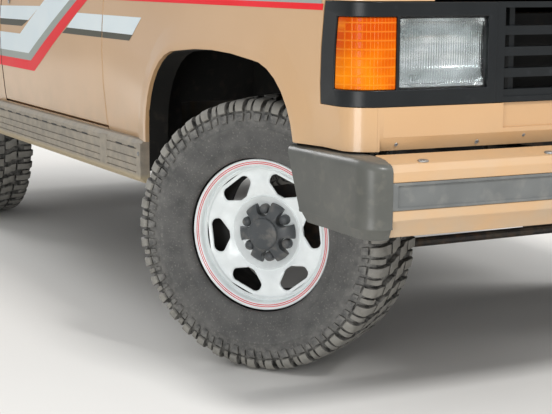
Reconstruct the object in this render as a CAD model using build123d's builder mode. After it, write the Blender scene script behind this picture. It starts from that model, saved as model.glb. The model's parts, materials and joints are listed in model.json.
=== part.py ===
"""Lifted off-road pickup with a single cab: frame, axles, steered front wheels and body panels.

Millimetres. Front is -Y, the vehicle's right is -X, +Z is up, and the ground is z = 0.
The origin is under the middle of the vehicle, so the front axle stands at front_axle_y.
"""
from build123d import *
import math
import os

os.makedirs("parts", exist_ok=True)

# Driving dimensions of the whole vehicle
overall_length = 4821
wheelbase = 2921
front_overhang = 900
front_axle_y = front_overhang - overall_length / 2
rear_axle_y = front_axle_y + wheelbase

# Wheels, tyres and steering
tyre_radius = 395
tyre_width = 265
tread_base_radius = 383
bead_radius = 205
rim_seat_clearance = 0.3
flange_radius = 220.5
rim_width = 200
wheel_sides = 22
pin_sides = 16
kingpin_x = 720
kingpin_to_wheel = 118
wheel_z = tyre_radius
steer_angle = 35
rear_wheel_x = kingpin_x + kingpin_to_wheel
running_clearance = 0.05
spindle_radius = 30
kingpin_radius = 18
steering_arm = 150
tie_rod_z = 327
tie_rod_radius = 15

# Body section, measured from the middle plane
body_half_width = 978
widest_z = 870
side_bulge = 0.000288
shoulder_z = 1150
shoulder_radius = 33
shoulder_steps = 4
side_levels = (500, 640, 760, 870, 960, 1050)
sill_z = 612
underbody_z = side_levels[0]
hood_half_width = body_half_width - 233
panel = 20
seam = 7
stop_lap = 15

# Places along the body, as distances behind the front axle
nose = -785
front_bow = 16000
nose_corner = 90
corner_steps = 5
door_front = 915
door_rear = 2090
cab_front = 640
cab_rear = 2225
bed_front = 2250
bed_rear = overall_length - front_overhang - 86
roof_z = 1898
cab_rail_x = body_half_width - 178
door_top_z = 1790
belt_z = 1195

# Wheel arches
arch_half = 495
arch_top = 921
arch_corner = 250
arch_crown = 14
arch_steps = 8
lip_reach = 16
lip_x = body_half_width + 15
fender_foot = 505
cladding_top = 600

# Lamps and grille heights
bezel_low = 816
bezel_high = 1071
lamp_low = 858
lamp_high = 1035
lamp_inner_x = body_half_width - 387
lamp_outer_x = body_half_width - 127
bezel_inner_x = body_half_width - 412
valence_seam_x = body_half_width - 73
valence_low = 708
bezel_rear = -600
signal_rear = -667


def aft(distance):
    """Y of a place that lies this far behind the front axle."""
    return front_axle_y + distance


def half_width(z):
    """Half width of the body side at a height."""
    return body_half_width - side_bulge * (z - widest_z) ** 2


def across(y):
    """Plane across the vehicle at y, drawn in (x, z), facing forward."""
    return Plane(origin=(0, y, 0), x_dir=(1, 0, 0), z_dir=(0, -1, 0))


def along(x):
    """Plane along the vehicle at x, drawn in (y, z), facing left."""
    return Plane(origin=(x, 0, 0), x_dir=(0, 1, 0), z_dir=(1, 0, 0))


def side_shape(x, points):
    """Straight-edged face drawn in (y, z)."""
    with BuildSketch(along(x)) as shape:
        with BuildLine():
            Polyline(*points, close=True)
        make_face()
    return shape.sketch


def cross_shape(y, points):
    """Straight-edged face drawn in (x, z)."""
    with BuildSketch(across(y)) as shape:
        with BuildLine():
            Polyline(*points, close=True)
        make_face()
    return shape.sketch


def block(x_low, x_high, y_low, y_high, z_low, z_high, mode=Mode.ADD):
    """Box between two corners."""
    middle = ((x_low + x_high) / 2, (y_low + y_high) / 2, (z_low + z_high) / 2)
    with Locations(middle):
        Box(x_high - x_low, y_high - y_low, z_high - z_low, mode=mode)


def rod(start, end, radius, mode=Mode.ADD, sides=10):
    """Bar between two points with this many sides, its corners on the radius."""
    direction = Vector(*end) - Vector(*start)
    with BuildSketch(Plane(origin=start, z_dir=direction)) as shape:
        RegularPolygon(radius, sides)
    extrude(shape.sketch, amount=direction.length, mode=mode)


def pin(start, end, radius):
    """Pin between two points, its corners on the radius."""
    rod(start, end, radius, sides=pin_sides)


def bore(start, end, radius):
    """Hole for a pin between two points, with its flats on the radius."""
    direction = Vector(*end) - Vector(*start)
    with BuildSketch(Plane(origin=start, z_dir=direction)) as shape:
        RegularPolygon(radius, pin_sides, major_radius=False)
    extrude(shape.sketch, amount=direction.length, mode=Mode.SUBTRACT)


def lower_body_section(y, inset, z_low):
    """Section of the body below the glass, in by inset all round but for the open bottom."""
    shoulder = half_width(shoulder_z) - inset
    crown = 1203 - inset
    flat = 1183 - inset
    points = [(half_width(z) - inset, max(z, z_low)) for z in side_levels if z > z_low]
    points.insert(0, (half_width(z_low) - inset, z_low))
    points.append((shoulder, shoulder_z - inset))
    for step in range(1, shoulder_steps):
        angle = math.radians(90 * step / shoulder_steps)
        out = shoulder_radius * math.cos(angle)
        up = (flat - shoulder_z + inset) * math.sin(angle)
        points.append((shoulder - shoulder_radius + out, shoulder_z - inset + up))
    points.append((shoulder - shoulder_radius, flat))
    points.append(((shoulder - shoulder_radius) / 2, crown - (crown - flat) / 4))
    points.append((0, crown))
    mirrored = [(-x, z) for x, z in reversed(points[:-1])]
    return cross_shape(y, points + mirrored)


def nose_plan(inset):
    """Plan outline of the front end with its bowed face and rounded corners."""
    radius = nose_corner - inset
    turn_x = body_half_width - nose_corner
    face = aft(nose + inset)
    bow_end = face + turn_x * turn_x / (2 * front_bow)
    corner = [(turn_x, bow_end)]
    for step in range(1, corner_steps + 1):
        angle = math.radians(90 * step / corner_steps)
        corner.append((turn_x + radius * math.sin(angle), bow_end + radius - radius * math.cos(angle)))
    corner.append((body_half_width - inset, aft(cab_front + 300)))
    with BuildSketch(Plane.XY.offset(400)) as shape:
        with BuildLine():
            ThreePointArc((-turn_x, bow_end), (0, face), (turn_x, bow_end))
            Polyline(*corner, *[(-x, y) for x, y in reversed(corner)])
        make_face()
    return shape.sketch


def front_mass(inset):
    """Solid inside the front end's skin, in by inset from the sides, the nose and the top."""
    section = extrude(lower_body_section(aft(-1000), inset, underbody_z), amount=-2000, mode=Mode.PRIVATE)
    plan = extrude(nose_plan(inset), amount=1000, mode=Mode.PRIVATE)
    with BuildSketch(along(-1200)) as profile:
        with BuildLine():
            front = aft(nose + inset - 25)
            Polyline((aft(-560 + inset), 1163 - inset), (aft(200), 1215 - inset), (aft(1000), 1215 - inset))
            Polyline((aft(1000), 1215 - inset), (aft(1000), 450), (front, 450), (front, 1080 - inset))
            ThreePointArc((front, 1080 - inset), (aft(-735 + inset), 1128 - inset), (aft(-560 + inset), 1163 - inset))
        make_face()
    side = extrude(profile.sketch, amount=2400, mode=Mode.PRIVATE)
    return section & plan & side


def cab_section(y, inset, roof_inset):
    """Section of the cab: body side, shoulder, leaning glass house and crowned roof."""
    with BuildSketch(across(y)) as shape:
        with BuildLine():
            shoulder = half_width(shoulder_z) - inset
            shoulder_top = shoulder_z - inset / 2
            rail = cab_rail_x - inset
            rail_z = 1815 - roof_inset
            for side in (-1, 1):
                Polyline(
                    *[(side * (half_width(z) - inset), z) for z in side_levels],
                    (side * shoulder, shoulder_top),
                    (side * (shoulder - 12), belt_z - 15 - inset / 2),
                    (side * (shoulder - 50), belt_z + 5 - inset / 2),
                    (side * rail, rail_z),
                    (side * (rail - 60), rail_z + 55),
                )
            ThreePointArc((-(rail - 60), rail_z + 55), (0, roof_z - roof_inset), (rail - 60, rail_z + 55))
            low = half_width(underbody_z) - inset
            Line((-low, underbody_z), (low, underbody_z))
        make_face()
    return shape.sketch


def cab_mass(inset, roof_inset, end_inset):
    """Solid inside the cab's skin."""
    length = cab_rear - cab_front - 2 * end_inset
    section_face = cab_section(aft(cab_front + end_inset), inset, roof_inset)
    section = extrude(section_face, amount=-length, mode=Mode.PRIVATE)
    front = cab_front + end_inset
    rear = cab_rear - end_inset
    screen_shift = end_inset * 1.16
    points = [
        (aft(front), 400),
        (aft(front), belt_z - roof_inset),
        (aft(790 + screen_shift - 0.595 * roof_inset), belt_z + 5 - roof_inset),
        (aft(1165 + screen_shift), 1835),
        (aft(1215 + screen_shift), 1875),
        (aft(1300 + screen_shift), 1900),
        (aft(rear - 120), 1900),
        (aft(rear - 30), 1850),
        (aft(rear), 1780),
        (aft(rear), 400),
    ]
    profile = extrude(side_shape(-1200, points), amount=2400, mode=Mode.PRIVATE)
    return section & profile


def door_outline(grow):
    """Door outline in (y, z), grown all round."""
    return [
        (aft(door_front - grow), sill_z - grow),
        (aft(door_front - grow), 1264 + grow * 0.4),
        (aft(1228 - grow * 0.75), door_top_z + grow),
        (aft(door_rear + grow), door_top_z + grow),
        (aft(door_rear + grow), sill_z - grow),
    ]


def window_outline(shrink):
    """Side window outline in (y, z), in by shrink all round."""
    return [
        (aft(1010 + shrink), 1250 + shrink),
        (aft(1010 + shrink), 1290 - shrink * 0.4),
        (aft(1262 + shrink * 0.8), 1735 - shrink),
        (aft(2025 - shrink), 1735 - shrink),
        (aft(2025 - shrink), 1250 + shrink),
    ]


def screen_outline(low_x, high_x, low_z, high_z):
    """Front or rear screen outline in (x, z)."""
    return [(-low_x, low_z), (low_x, low_z), (high_x, high_z), (-high_x, high_z)]


def arch_points(centre_y, reach, foot):
    """Wheel arch outline in (y, z), grown by reach: upright sides, rounded corners, crowned top."""
    inner = arch_half - arch_corner
    turn_z = arch_top - arch_crown - arch_corner
    corner = []
    for step in range(arch_steps + 1):
        angle = math.radians(90 * step / arch_steps)
        out = (arch_corner + reach) * math.cos(angle)
        up = (arch_corner + reach) * math.sin(angle)
        corner.append((inner + out, turn_z + up))
    rise = [(share * inner, arch_top + reach - arch_crown * share * share) for share in (0.5, 0)]
    half = [(arch_half + reach, foot)] + corner + rise
    whole = half + [(-y, z) for y, z in reversed(half[:-1])]
    return [(centre_y + y, z) for y, z in whole]


def faced(loops):
    """Solid of flat faces through loops of matching corners, closed by the first and the last loop."""
    faces = [Face(Wire.make_polygon(loops[0])), Face(Wire.make_polygon(loops[-1]))]
    for low, high in zip(loops, loops[1:]):
        for step in range(len(low)):
            after = (step + 1) % len(low)
            faces.append(Face(Wire.make_polygon((low[step], low[after], high[after], high[step]))))
    return Solid(Shell(faces))


def wheel_plane(side, steered):
    """Plane in the middle of a wheel, facing outward, with its x pointing down."""
    if steered:
        turn = math.radians(steer_angle)
        outward = (side * math.cos(turn), side * math.sin(turn), 0)
        centre = (
            side * kingpin_x + kingpin_to_wheel * outward[0],
            front_axle_y + kingpin_to_wheel * outward[1],
            wheel_z,
        )
    else:
        outward = (side, 0, 0)
        centre = (side * rear_wheel_x, rear_axle_y, wheel_z)
    return Plane(origin=centre, x_dir=(0, 0, -1), z_dir=outward)


wheels = {
    "front_right": wheel_plane(-1, True),
    "front_left": wheel_plane(1, True),
    "rear_right": wheel_plane(-1, False),
    "rear_left": wheel_plane(1, False),
}


def ring_face(height, outer, inner=0):
    """Many-sided disc or ring, drawn on the wheel's own plane."""
    with BuildSketch(Plane.XY.offset(height)) as shape:
        RegularPolygon(outer, wheel_sides)
        if inner > 0:
            RegularPolygon(inner, wheel_sides, mode=Mode.SUBTRACT)
    return shape.sketch


def cone_piece(plane, sides, *rings):
    """Turned form with this many flat sides, from a short list of (place along the axis, radius)."""
    loops = []
    for height, radius in rings:
        angles = [2 * math.pi * step / sides for step in range(sides)]
        corners = [(radius * math.cos(angle), radius * math.sin(angle), height) for angle in angles]
        loops.append([plane.from_local_coords(Vector(*corner)) for corner in corners])
    return faced(loops)


def lug_face(height, teeth, phase, corners):
    """Outline of a row of lugs from the corners of one, as shares of the pitch and radii."""
    pitch = 2 * math.pi / teeth
    points = []
    for tooth in range(teeth):
        for share, radius in corners:
            angle = (tooth + phase + share) * pitch
            points.append((radius * math.cos(angle), radius * math.sin(angle)))
    with BuildSketch(Plane.XY.offset(height)) as shape:
        with BuildLine():
            Polyline(*points, close=True)
        make_face()
    return shape.sketch


# Tyre, made flat and then set on its wheel's plane. Its x points down, so that a lug meets the ground.
lug_share = 0.29
lug_corner_radius = tyre_radius / math.cos(lug_share * 2 * math.pi / wheel_sides)
lug_corners = (
    # share of the pitch, radius
    (-lug_share, lug_corner_radius),
    (lug_share, lug_corner_radius),
    (0.35, tread_base_radius),
    (0.65, tread_base_radius),
)
lug_outer = 126
sidewall_top = 355
sidewall_bulge = 300
bead_wall = 240
flange_thickness = 12
half_tyre = tyre_width / 2
half_rim = rim_width / 2
bead_edge = half_rim - flange_thickness - rim_seat_clearance
bead_seat = flange_radius + rim_seat_clearance
with BuildPart() as tyre:
    extrude(lug_face(-lug_outer, wheel_sides, 0, lug_corners), amount=lug_outer)
    extrude(lug_face(0, wheel_sides, 0.5, lug_corners), amount=lug_outer)
    for side in (-1, 1):
        add(cone_piece(Plane.XY, wheel_sides, (side * lug_outer, sidewall_top), (side * half_tyre, sidewall_bulge)))
    add(
        cone_piece(
            Plane.XY, wheel_sides,
            (-half_tyre, bead_wall), (-bead_edge, bead_seat), (-bead_edge, bead_radius),
            (bead_edge, bead_radius), (bead_edge, bead_seat), (half_tyre, bead_wall),
        ),
        mode=Mode.SUBTRACT,
    )

# Wheel rim: barrel, flanges, dished disc with its slots, wheel nuts, and the hub with its lobed cap
barrel_radius = bead_radius - rim_seat_clearance
barrel_inner = 197
disc_face = 68
disc_thickness = 8
disc_lap = 4
pad_face = 39
dish_radius = 104
dish_foot = 91
dish_sides = 12
slot_radius = 150
slot_count = 6
slot_width = 60
slot_length = 96
slot_point = 30
slot_angle = 97
hub_radius = 54
cap_reach = 89
cap_waist = 50
cap_lobe = 17
cap_foot = 20
cap_radius = 45
cap_face = 88
cap_top_radius = 39
hub_back = -70
hub_bore_depth = 80
cap_outline = []
for lobe in range(slot_count):
    middle = slot_angle + lobe * 360 / slot_count
    for angle, radius in ((middle - cap_lobe, cap_reach), (middle + cap_lobe, cap_reach), (middle + 30, cap_waist)):
        turn = math.radians(angle)
        cap_outline.append((radius * math.cos(turn), radius * math.sin(turn)))
with BuildPart() as rim:
    extrude(ring_face(-half_rim, barrel_radius, barrel_inner), amount=rim_width)
    for start in (-half_rim, half_rim - flange_thickness):
        extrude(ring_face(start, flange_radius, barrel_inner), amount=flange_thickness)
    extrude(ring_face(disc_face - disc_thickness, barrel_inner + disc_lap), amount=disc_thickness)
    add(
        cone_piece(
            Plane.XY, dish_sides,
            (pad_face - disc_thickness, dish_foot + disc_thickness), (disc_face, dish_radius + disc_thickness),
        )
    )
    add(
        cone_piece(Plane.XY, dish_sides, (pad_face, dish_foot), (disc_face, dish_radius), (disc_face + 1, dish_radius)),
        mode=Mode.SUBTRACT,
    )
    with BuildSketch(Plane.XY.offset(disc_face)):
        with PolarLocations(slot_radius, slot_count, start_angle=slot_angle):
            Rectangle(slot_width, slot_length)
            with Locations((-slot_width / 2, 0)):
                RegularPolygon(slot_point, 6, rotation=30)
    extrude(amount=-disc_thickness - 1, mode=Mode.SUBTRACT)
    with BuildSketch(Plane.XY.offset(hub_back)):
        RegularPolygon(hub_radius, dish_sides)
    extrude(amount=pad_face - hub_back)
    with BuildSketch(Plane.XY.offset(pad_face)):
        with BuildLine():
            Polyline(*cap_outline, close=True)
        make_face()
    extrude(amount=cap_foot)
    add(cone_piece(Plane.XY, dish_sides, (pad_face + cap_foot - 1, cap_radius), (cap_face, cap_top_radius)))
    bore((0, 0, hub_back), (0, 0, hub_back + hub_bore_depth), spindle_radius + running_clearance)

for name, base in wheels.items():
    with BuildPart() as placed_tyre:
        with Locations(base):
            add(tyre.part)
    placed_tyre.part.label = "tyre_" + name
    export_step(placed_tyre.part, "parts/tyre_" + name + ".step")
    with BuildPart() as placed_rim:
        with Locations(base):
            add(rim.part)
    placed_rim.part.label = "rim_" + name
    export_step(placed_rim.part, "parts/rim_" + name + ".step")

# Steering knuckles: kingpin block between the axle's yoke arms, spindle, backing plate and arm
yoke_gap = 6
knuckle_half = 60
boss_radius = 42
yoke_arm = 18
spindle_start = 30
spindle_end = kingpin_to_wheel + hub_back + 76
plate_radius = 125
plate_start = 36
plate_thickness = 6
eye_half = 17
eye_radius_outer = 17
arm_bottom = tie_rod_z + eye_half + 5
arm_top = arm_bottom + 13
pin_radius = 9
for name, side in (("right", -1), ("left", 1)):
    base = wheels["front_" + name]
    outward = base.z_dir
    pivot = Vector(side * kingpin_x, front_axle_y, wheel_z)
    ahead = Vector(side * outward.Y, -side * outward.X, 0)
    arm_end = pivot + ahead * steering_arm
    low = (pivot.X, pivot.Y, wheel_z - knuckle_half)
    high = (pivot.X, pivot.Y, wheel_z + knuckle_half)
    with BuildPart() as knuckle:
        rod(low, high, boss_radius, sides=pin_sides)
        pin(pivot + outward * spindle_start, pivot + outward * spindle_end, spindle_radius)
        rod(pivot + outward * plate_start, pivot + outward * (plate_start + plate_thickness), plate_radius, sides=16)
        arm_plane = Plane(origin=(pivot.X, pivot.Y, arm_bottom), x_dir=ahead, z_dir=(0, 0, 1))
        with BuildSketch(arm_plane):
            with Locations((steering_arm / 2, 0)):
                Rectangle(steering_arm, 2 * eye_radius_outer)
            with Locations((steering_arm, 0)):
                RegularPolygon(eye_radius_outer, 8, rotation=22.5, major_radius=False)
        extrude(amount=arm_top - arm_bottom)
        pin((arm_end.X, arm_end.Y, tie_rod_z - eye_half - 1), (arm_end.X, arm_end.Y, arm_bottom), pin_radius)
        bore(low, high, kingpin_radius + running_clearance)
    knuckle.part.label = "knuckle_" + name
    export_step(knuckle.part, "parts/knuckle_" + name + ".step")

# Tie rod between the two steering arms
turn = math.radians(steer_angle)
rod_shift = steering_arm * math.sin(turn)
rod_y = front_axle_y - steering_arm * math.cos(turn)
loose_eye = 6
with BuildPart() as tie_rod:
    rod((rod_shift - kingpin_x, rod_y, tie_rod_z), (rod_shift + kingpin_x, rod_y, tie_rod_z), tie_rod_radius)
    for side, clearance in ((-1, running_clearance), (1, loose_eye)):
        eye_x = rod_shift + side * kingpin_x
        rod((eye_x, rod_y, tie_rod_z - eye_half), (eye_x, rod_y, tie_rod_z + eye_half), eye_radius_outer + 1, sides=pin_sides)
        bore((eye_x, rod_y, tie_rod_z - 2 * eye_half), (eye_x, rod_y, tie_rod_z + 2 * eye_half), pin_radius + clearance)
tie_rod.part.label = "tie_rod"
export_step(tie_rod.part, "parts/tie_rod.step")

def differential(x, y, radius):
    """Many-sided drum round the differential, with sloped front and rear faces."""
    plane = Plane(origin=(x, y, wheel_z), x_dir=(1, 0, 0), z_dir=(0, -1, 0))
    depth = 0.7 * radius
    return cone_piece(plane, 12, (-depth, 0.6 * radius), (0, radius), (depth, 0.6 * radius))


# Front axle: tube, differential, yokes with their kingpins and spring seats
tube_radius = 40
front_diff_x = 220
front_diff_radius = 112
front_pinion = 190
spring_x = 417
spring_width = 60
spring_seat_z = wheel_z + tube_radius + 5
yoke_back = 92
yoke_front = 55
with BuildPart() as front_axle:
    rod(
        (yoke_back - kingpin_x, front_axle_y, wheel_z),
        (kingpin_x - yoke_back, front_axle_y, wheel_z),
        tube_radius,
    )
    add(differential(front_diff_x, front_axle_y, front_diff_radius))
    rod((front_diff_x, front_axle_y, wheel_z), (front_diff_x, front_axle_y + front_pinion, wheel_z), 45)
    for side in (-1, 1):
        x_a = side * (kingpin_x - yoke_back)
        x_b = side * (kingpin_x - yoke_front)
        outer = knuckle_half + yoke_gap + yoke_arm
        block(min(x_a, x_b), max(x_a, x_b), front_axle_y - 40, front_axle_y + 40, wheel_z - outer, wheel_z + outer)
        for level in (-1, 1):
            z_a = wheel_z + level * (knuckle_half + yoke_gap)
            z_b = wheel_z + level * outer
            x_c = side * kingpin_x
            block(
                min(x_a, x_c), max(x_a, x_c), front_axle_y - 30, front_axle_y + 30, min(z_a, z_b), max(z_a, z_b)
            )
            rod((x_c, front_axle_y, min(z_a, z_b)), (x_c, front_axle_y, max(z_a, z_b)), 30)
        pin(
            (side * kingpin_x, front_axle_y, wheel_z - outer),
            (side * kingpin_x, front_axle_y, wheel_z + outer),
            kingpin_radius,
        )
        block(
            side * spring_x - 35, side * spring_x + 35, front_axle_y - 60, front_axle_y + 60, wheel_z, spring_seat_z
        )
front_axle.part.label = "front_axle"
export_step(front_axle.part, "parts/front_axle.step")

# Rear axle: tube, differential, spring seats, brake drums and spindles
rear_diff_radius = 150
rear_pinion = 250
drum_radius = 140
with BuildPart() as rear_axle:
    rod((-660, rear_axle_y, wheel_z), (660, rear_axle_y, wheel_z), tube_radius)
    add(differential(0, rear_axle_y, rear_diff_radius))
    rod((0, rear_axle_y - rear_pinion, wheel_z), (0, rear_axle_y, wheel_z), 48)
    for side in (-1, 1):
        rod((side * 650, rear_axle_y, wheel_z), (side * 735, rear_axle_y, wheel_z), drum_radius, sides=16)
        pin((side * 650, rear_axle_y, wheel_z), (side * (rear_wheel_x + 6), rear_axle_y, wheel_z), spindle_radius)
        block(
            side * spring_x - 35, side * spring_x + 35, rear_axle_y - 60, rear_axle_y + 60, wheel_z, spring_seat_z
        )
rear_axle.part.label = "rear_axle"
export_step(rear_axle.part, "parts/rear_axle.step")

# Frame: two open channel rails and their cross members, with spring hangers
rail_low = 530
rail_high = 690
rail_outer = 450
rail_inner = 385
rail_wall = 8
rail_front = -770
rail_rear = bed_rear - 45
cross_members = (
    (-765, -705, 540, 640),
    (700, 770, 500, 540),
    (1180, 1250, 640, 688),
    (2280, 2350, 560, 660),
    (bed_rear - 145, bed_rear - 75, 545, 660),
)
front_spring_span = 560
rear_spring_span = 660
hanger_low = 478
floor_low = 712
body_mounts = (cab_front + 120, cab_rear - 130)
hanger_wall = 6
hanger_gap = 0.3
hanger_half = 34
with BuildPart() as frame_rails:
    for side in (-1, 1):
        x_a = side * rail_inner
        x_b = side * rail_outer
        block(min(x_a, x_b), max(x_a, x_b), aft(rail_front), aft(rail_rear), rail_low, rail_high)
        x_b = side * (rail_outer - rail_wall)
        block(
            min(x_a, x_b), max(x_a, x_b), aft(rail_front) - 5, aft(rail_rear) + 5,
            rail_low + rail_wall, rail_high - rail_wall, mode=Mode.SUBTRACT,
        )
    for y_low, y_high, z_low, z_high in cross_members:
        block(rail_wall - rail_outer, rail_outer - rail_wall, aft(y_low), aft(y_high), z_low, z_high)
    for centre, span in ((0, front_spring_span), (wheelbase, rear_spring_span)):
        for side in (-1, 1):
            for end in (-1, 1):
                y_mid = aft(centre + end * span)
                for wall in (-1, 1):
                    x_mid = side * spring_x + wall * (spring_width / 2 + hanger_gap + hanger_wall / 2)
                    block(
                        x_mid - hanger_wall / 2, x_mid + hanger_wall / 2, y_mid - hanger_half, y_mid + hanger_half,
                        hanger_low, rail_low + 4,
                    )
    for place in body_mounts:
        for side in (-1, 1):
            x_a = side * (rail_inner + 10)
            x_b = side * (rail_outer - 10)
            block(min(x_a, x_b), max(x_a, x_b), aft(place), aft(place + 60), rail_high - 1, floor_low - hanger_gap)
frame_rails.part.label = "frame_rails"
export_step(frame_rails.part, "parts/frame_rails.step")

# Leaf springs: flat arched packs from hanger to hanger over the axle seats
leaf = 9
seat_gap = 0.3
eye_z = 500
eye_radius = 18
with BuildPart() as leaf_springs:
    for centre, span in ((0, front_spring_span), (wheelbase, rear_spring_span)):
        for side in (-1, 1):
            x_low = side * spring_x - spring_width / 2
            for layer, reach in enumerate((4, 3, 2)):
                base_z = spring_seat_z + (2 - layer) * leaf + seat_gap
                rise = eye_z - spring_seat_z - 2 * leaf
                shares = [step / 4 for step in range(-reach, reach + 1)]
                curve = [(aft(centre + span * share), base_z + rise * share * share) for share in shares]
                with BuildSketch(along(x_low)):
                    with BuildLine():
                        top = [(y, z + leaf) for y, z in reversed(curve)]
                        Polyline(*(curve + top), close=True)
                    make_face()
                extrude(amount=spring_width)
            for end in (-1, 1):
                rod(
                    (x_low, aft(centre + end * span), eye_z + leaf / 2),
                    (x_low + spring_width, aft(centre + end * span), eye_z + leaf / 2),
                    eye_radius,
                    sides=8,
                )
leaf_springs.part.label = "leaf_springs"
export_step(leaf_springs.part, "parts/leaf_springs.step")

# Engine, gearbox with transfer case, drive shafts, fuel tank and exhaust
engine_rear = 330
case_rear = 1060
case_front = 780
with BuildPart() as engine_and_gearbox:
    block(-250, 250, aft(-430), aft(engine_rear), 560, 1000)
    rod((0, aft(engine_rear + seat_gap), 680), (0, aft(820), 680), 120, sides=12)
    block(-150, 330, aft(case_front), aft(case_rear), 555, 700)
engine_and_gearbox.part.label = "engine_and_gearbox"
export_step(engine_and_gearbox.part, "parts/engine_and_gearbox.step")

shaft_radius = 36
yoke_length = 30
shaft_runs = (
    (front_diff_x, front_axle_y + front_pinion + seat_gap, wheel_z, aft(case_front) - seat_gap, 600, 1),
    (0, rear_axle_y - rear_pinion - seat_gap, wheel_z, aft(case_rear) + seat_gap, 600, -1),
)
with BuildPart() as propshafts:
    for shaft_x, y_axle, z_axle, y_case, z_case, way in shaft_runs:
        rod((shaft_x, y_axle, z_axle), (shaft_x, y_axle + way * yoke_length, z_axle), shaft_radius)
        rod((shaft_x, y_case, z_case), (shaft_x, y_case - way * yoke_length, z_case), shaft_radius)
        rod(
            (shaft_x, y_axle + way * yoke_length, z_axle),
            (shaft_x, y_case - way * yoke_length, z_case),
            shaft_radius - 4,
        )
propshafts.part.label = "propshafts"
export_step(propshafts.part, "parts/propshafts.step")

tank_top = 711.7
tank_corner = 40
with BuildPart() as fuel_tank:
    block(rail_outer + 20, body_half_width - 198, aft(1350), aft(2150), rail_low + 5, tank_top)
    chamfer(fuel_tank.edges().filter_by(Axis.Y), tank_corner)
fuel_tank.part.label = "fuel_tank"
export_step(fuel_tank.part, "parts/fuel_tank.step")

pipe_radius = 30
silencer_radius = 80
with BuildPart() as exhaust:
    pipe_points = ((-285, 200, 600), (-300, 420, 465), (-310, 800, 465), (-580, 1020, 470), (-580, 1250, 490))
    for start, end in zip(pipe_points, pipe_points[1:]):
        rod((start[0], aft(start[1]), start[2]), (end[0], aft(end[1]), end[2]), pipe_radius)
    rod((-580, aft(1240), 500), (-580, aft(1800), 500), silencer_radius, sides=12)
    rod((-580, aft(1790), 500), (-640, aft(2190), 500), pipe_radius)
    rod((-640, aft(2180), 500), (-900, aft(2350), 490), pipe_radius)
    rod((-860, aft(2323.8), 491.5), (-905, aft(2353.3), 489.8), pipe_radius - 4, mode=Mode.SUBTRACT)
    block(-540, -rail_outer - seat_gap, aft(1500), aft(1530), rail_low + 10, rail_low + 25)
exhaust.part.label = "exhaust"
export_step(exhaust.part, "parts/exhaust.step")

# Front fenders: shells with flared arches, round the nose corners as far as the valence's seams
hood_gap = 6
cowl_gap = 20
hood_rear = cab_front - cowl_gap
hood_pin_z = 1180
hood_pin_radius = 4
hood_pin_y = aft(hood_rear - 6)
skin = front_mass(0)
skin_inner = front_mass(panel)
far_front = aft(-1100)
far_side = body_half_width + 222
shell_floor = 300
shell_ceiling = 1300
seat_depth = 1


flare_curve = (
    # place out from the body's half width, reach out from the lip
    (-9, 100),
    (0, 62),
    (6, 34),
    (12, 12),
    (15, 0),
)


def flare(centre_y):
    """Flare round the right-hand arch, hollow where it leaves the body and rounded at its lip."""
    loops = []
    for out, reach in flare_curve:
        outline = arch_points(centre_y, lip_reach + reach, shell_floor)
        loops.append([Vector(-body_half_width - out, y, z) for y, z in outline])
    return faced(loops)


def arch_hole(centre_y, depth):
    """Solid that opens the right-hand arch to this depth."""
    outline = side_shape(-far_side, arch_points(centre_y, 0, shell_floor - 50))
    return extrude(outline, amount=depth, mode=Mode.PRIVATE)


with BuildPart() as fender_right:
    add(skin)
    add(skin_inner, mode=Mode.SUBTRACT)
    add(flare(front_axle_y))
    block(-hood_half_width - seam, far_side, far_front, aft(1100), shell_floor, shell_ceiling, mode=Mode.SUBTRACT)
    block(-valence_seam_x, far_side, far_front, aft(0), shell_floor, bezel_high + 2, mode=Mode.SUBTRACT)
    block(-far_side, 0, aft(door_front - seam), aft(1100), shell_floor, shell_ceiling, mode=Mode.SUBTRACT)
    block(-far_side, 0, far_front, aft(bezel_rear), bezel_low, bezel_high + 2, mode=Mode.SUBTRACT)
    block(-far_side, 0, far_front, aft(0), shell_floor - 100, valence_low, mode=Mode.SUBTRACT)
    block(-far_side, 0, aft(0), aft(1100), shell_floor - 100, fender_foot, mode=Mode.SUBTRACT)
    block(-far_side, 22 - body_half_width, aft(0), aft(1100), shell_floor - 100, cladding_top + 2, mode=Mode.SUBTRACT)
    add(arch_hole(front_axle_y, 420), mode=Mode.SUBTRACT)
    bore(
        (-hood_half_width - seam - 17, hood_pin_y, hood_pin_z),
        (-hood_half_width, hood_pin_y, hood_pin_z),
        hood_pin_radius + running_clearance,
    )
with BuildPart() as front_fenders:
    add(fender_right.part)
    mirror(fender_right.part, about=Plane.YZ)
front_fenders.part.label = "front_fenders"
export_step(front_fenders.part, "parts/front_fenders.step")

# Hood, hinged at its rear edge
with BuildPart() as hood:
    add(skin)
    add(skin_inner, mode=Mode.SUBTRACT)
    for side in (-1, 1):
        x_a = side * hood_half_width
        x_b = side * far_side
        block(min(x_a, x_b), max(x_a, x_b), far_front, aft(1100), shell_floor, shell_ceiling, mode=Mode.SUBTRACT)
    block(-far_side, far_side, aft(hood_rear), aft(1100), shell_floor, shell_ceiling, mode=Mode.SUBTRACT)
    block(-far_side, far_side, far_front, aft(1100), shell_floor, bezel_high + hood_gap, mode=Mode.SUBTRACT)
    for side in (-1, 1):
        pin(
            (side * (hood_half_width - 4), hood_pin_y, hood_pin_z),
            (side * (hood_half_width + seam + 12), hood_pin_y, hood_pin_z),
            hood_pin_radius,
        )
hood.part.label = "hood"
export_step(hood.part, "parts/hood.step")

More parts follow.
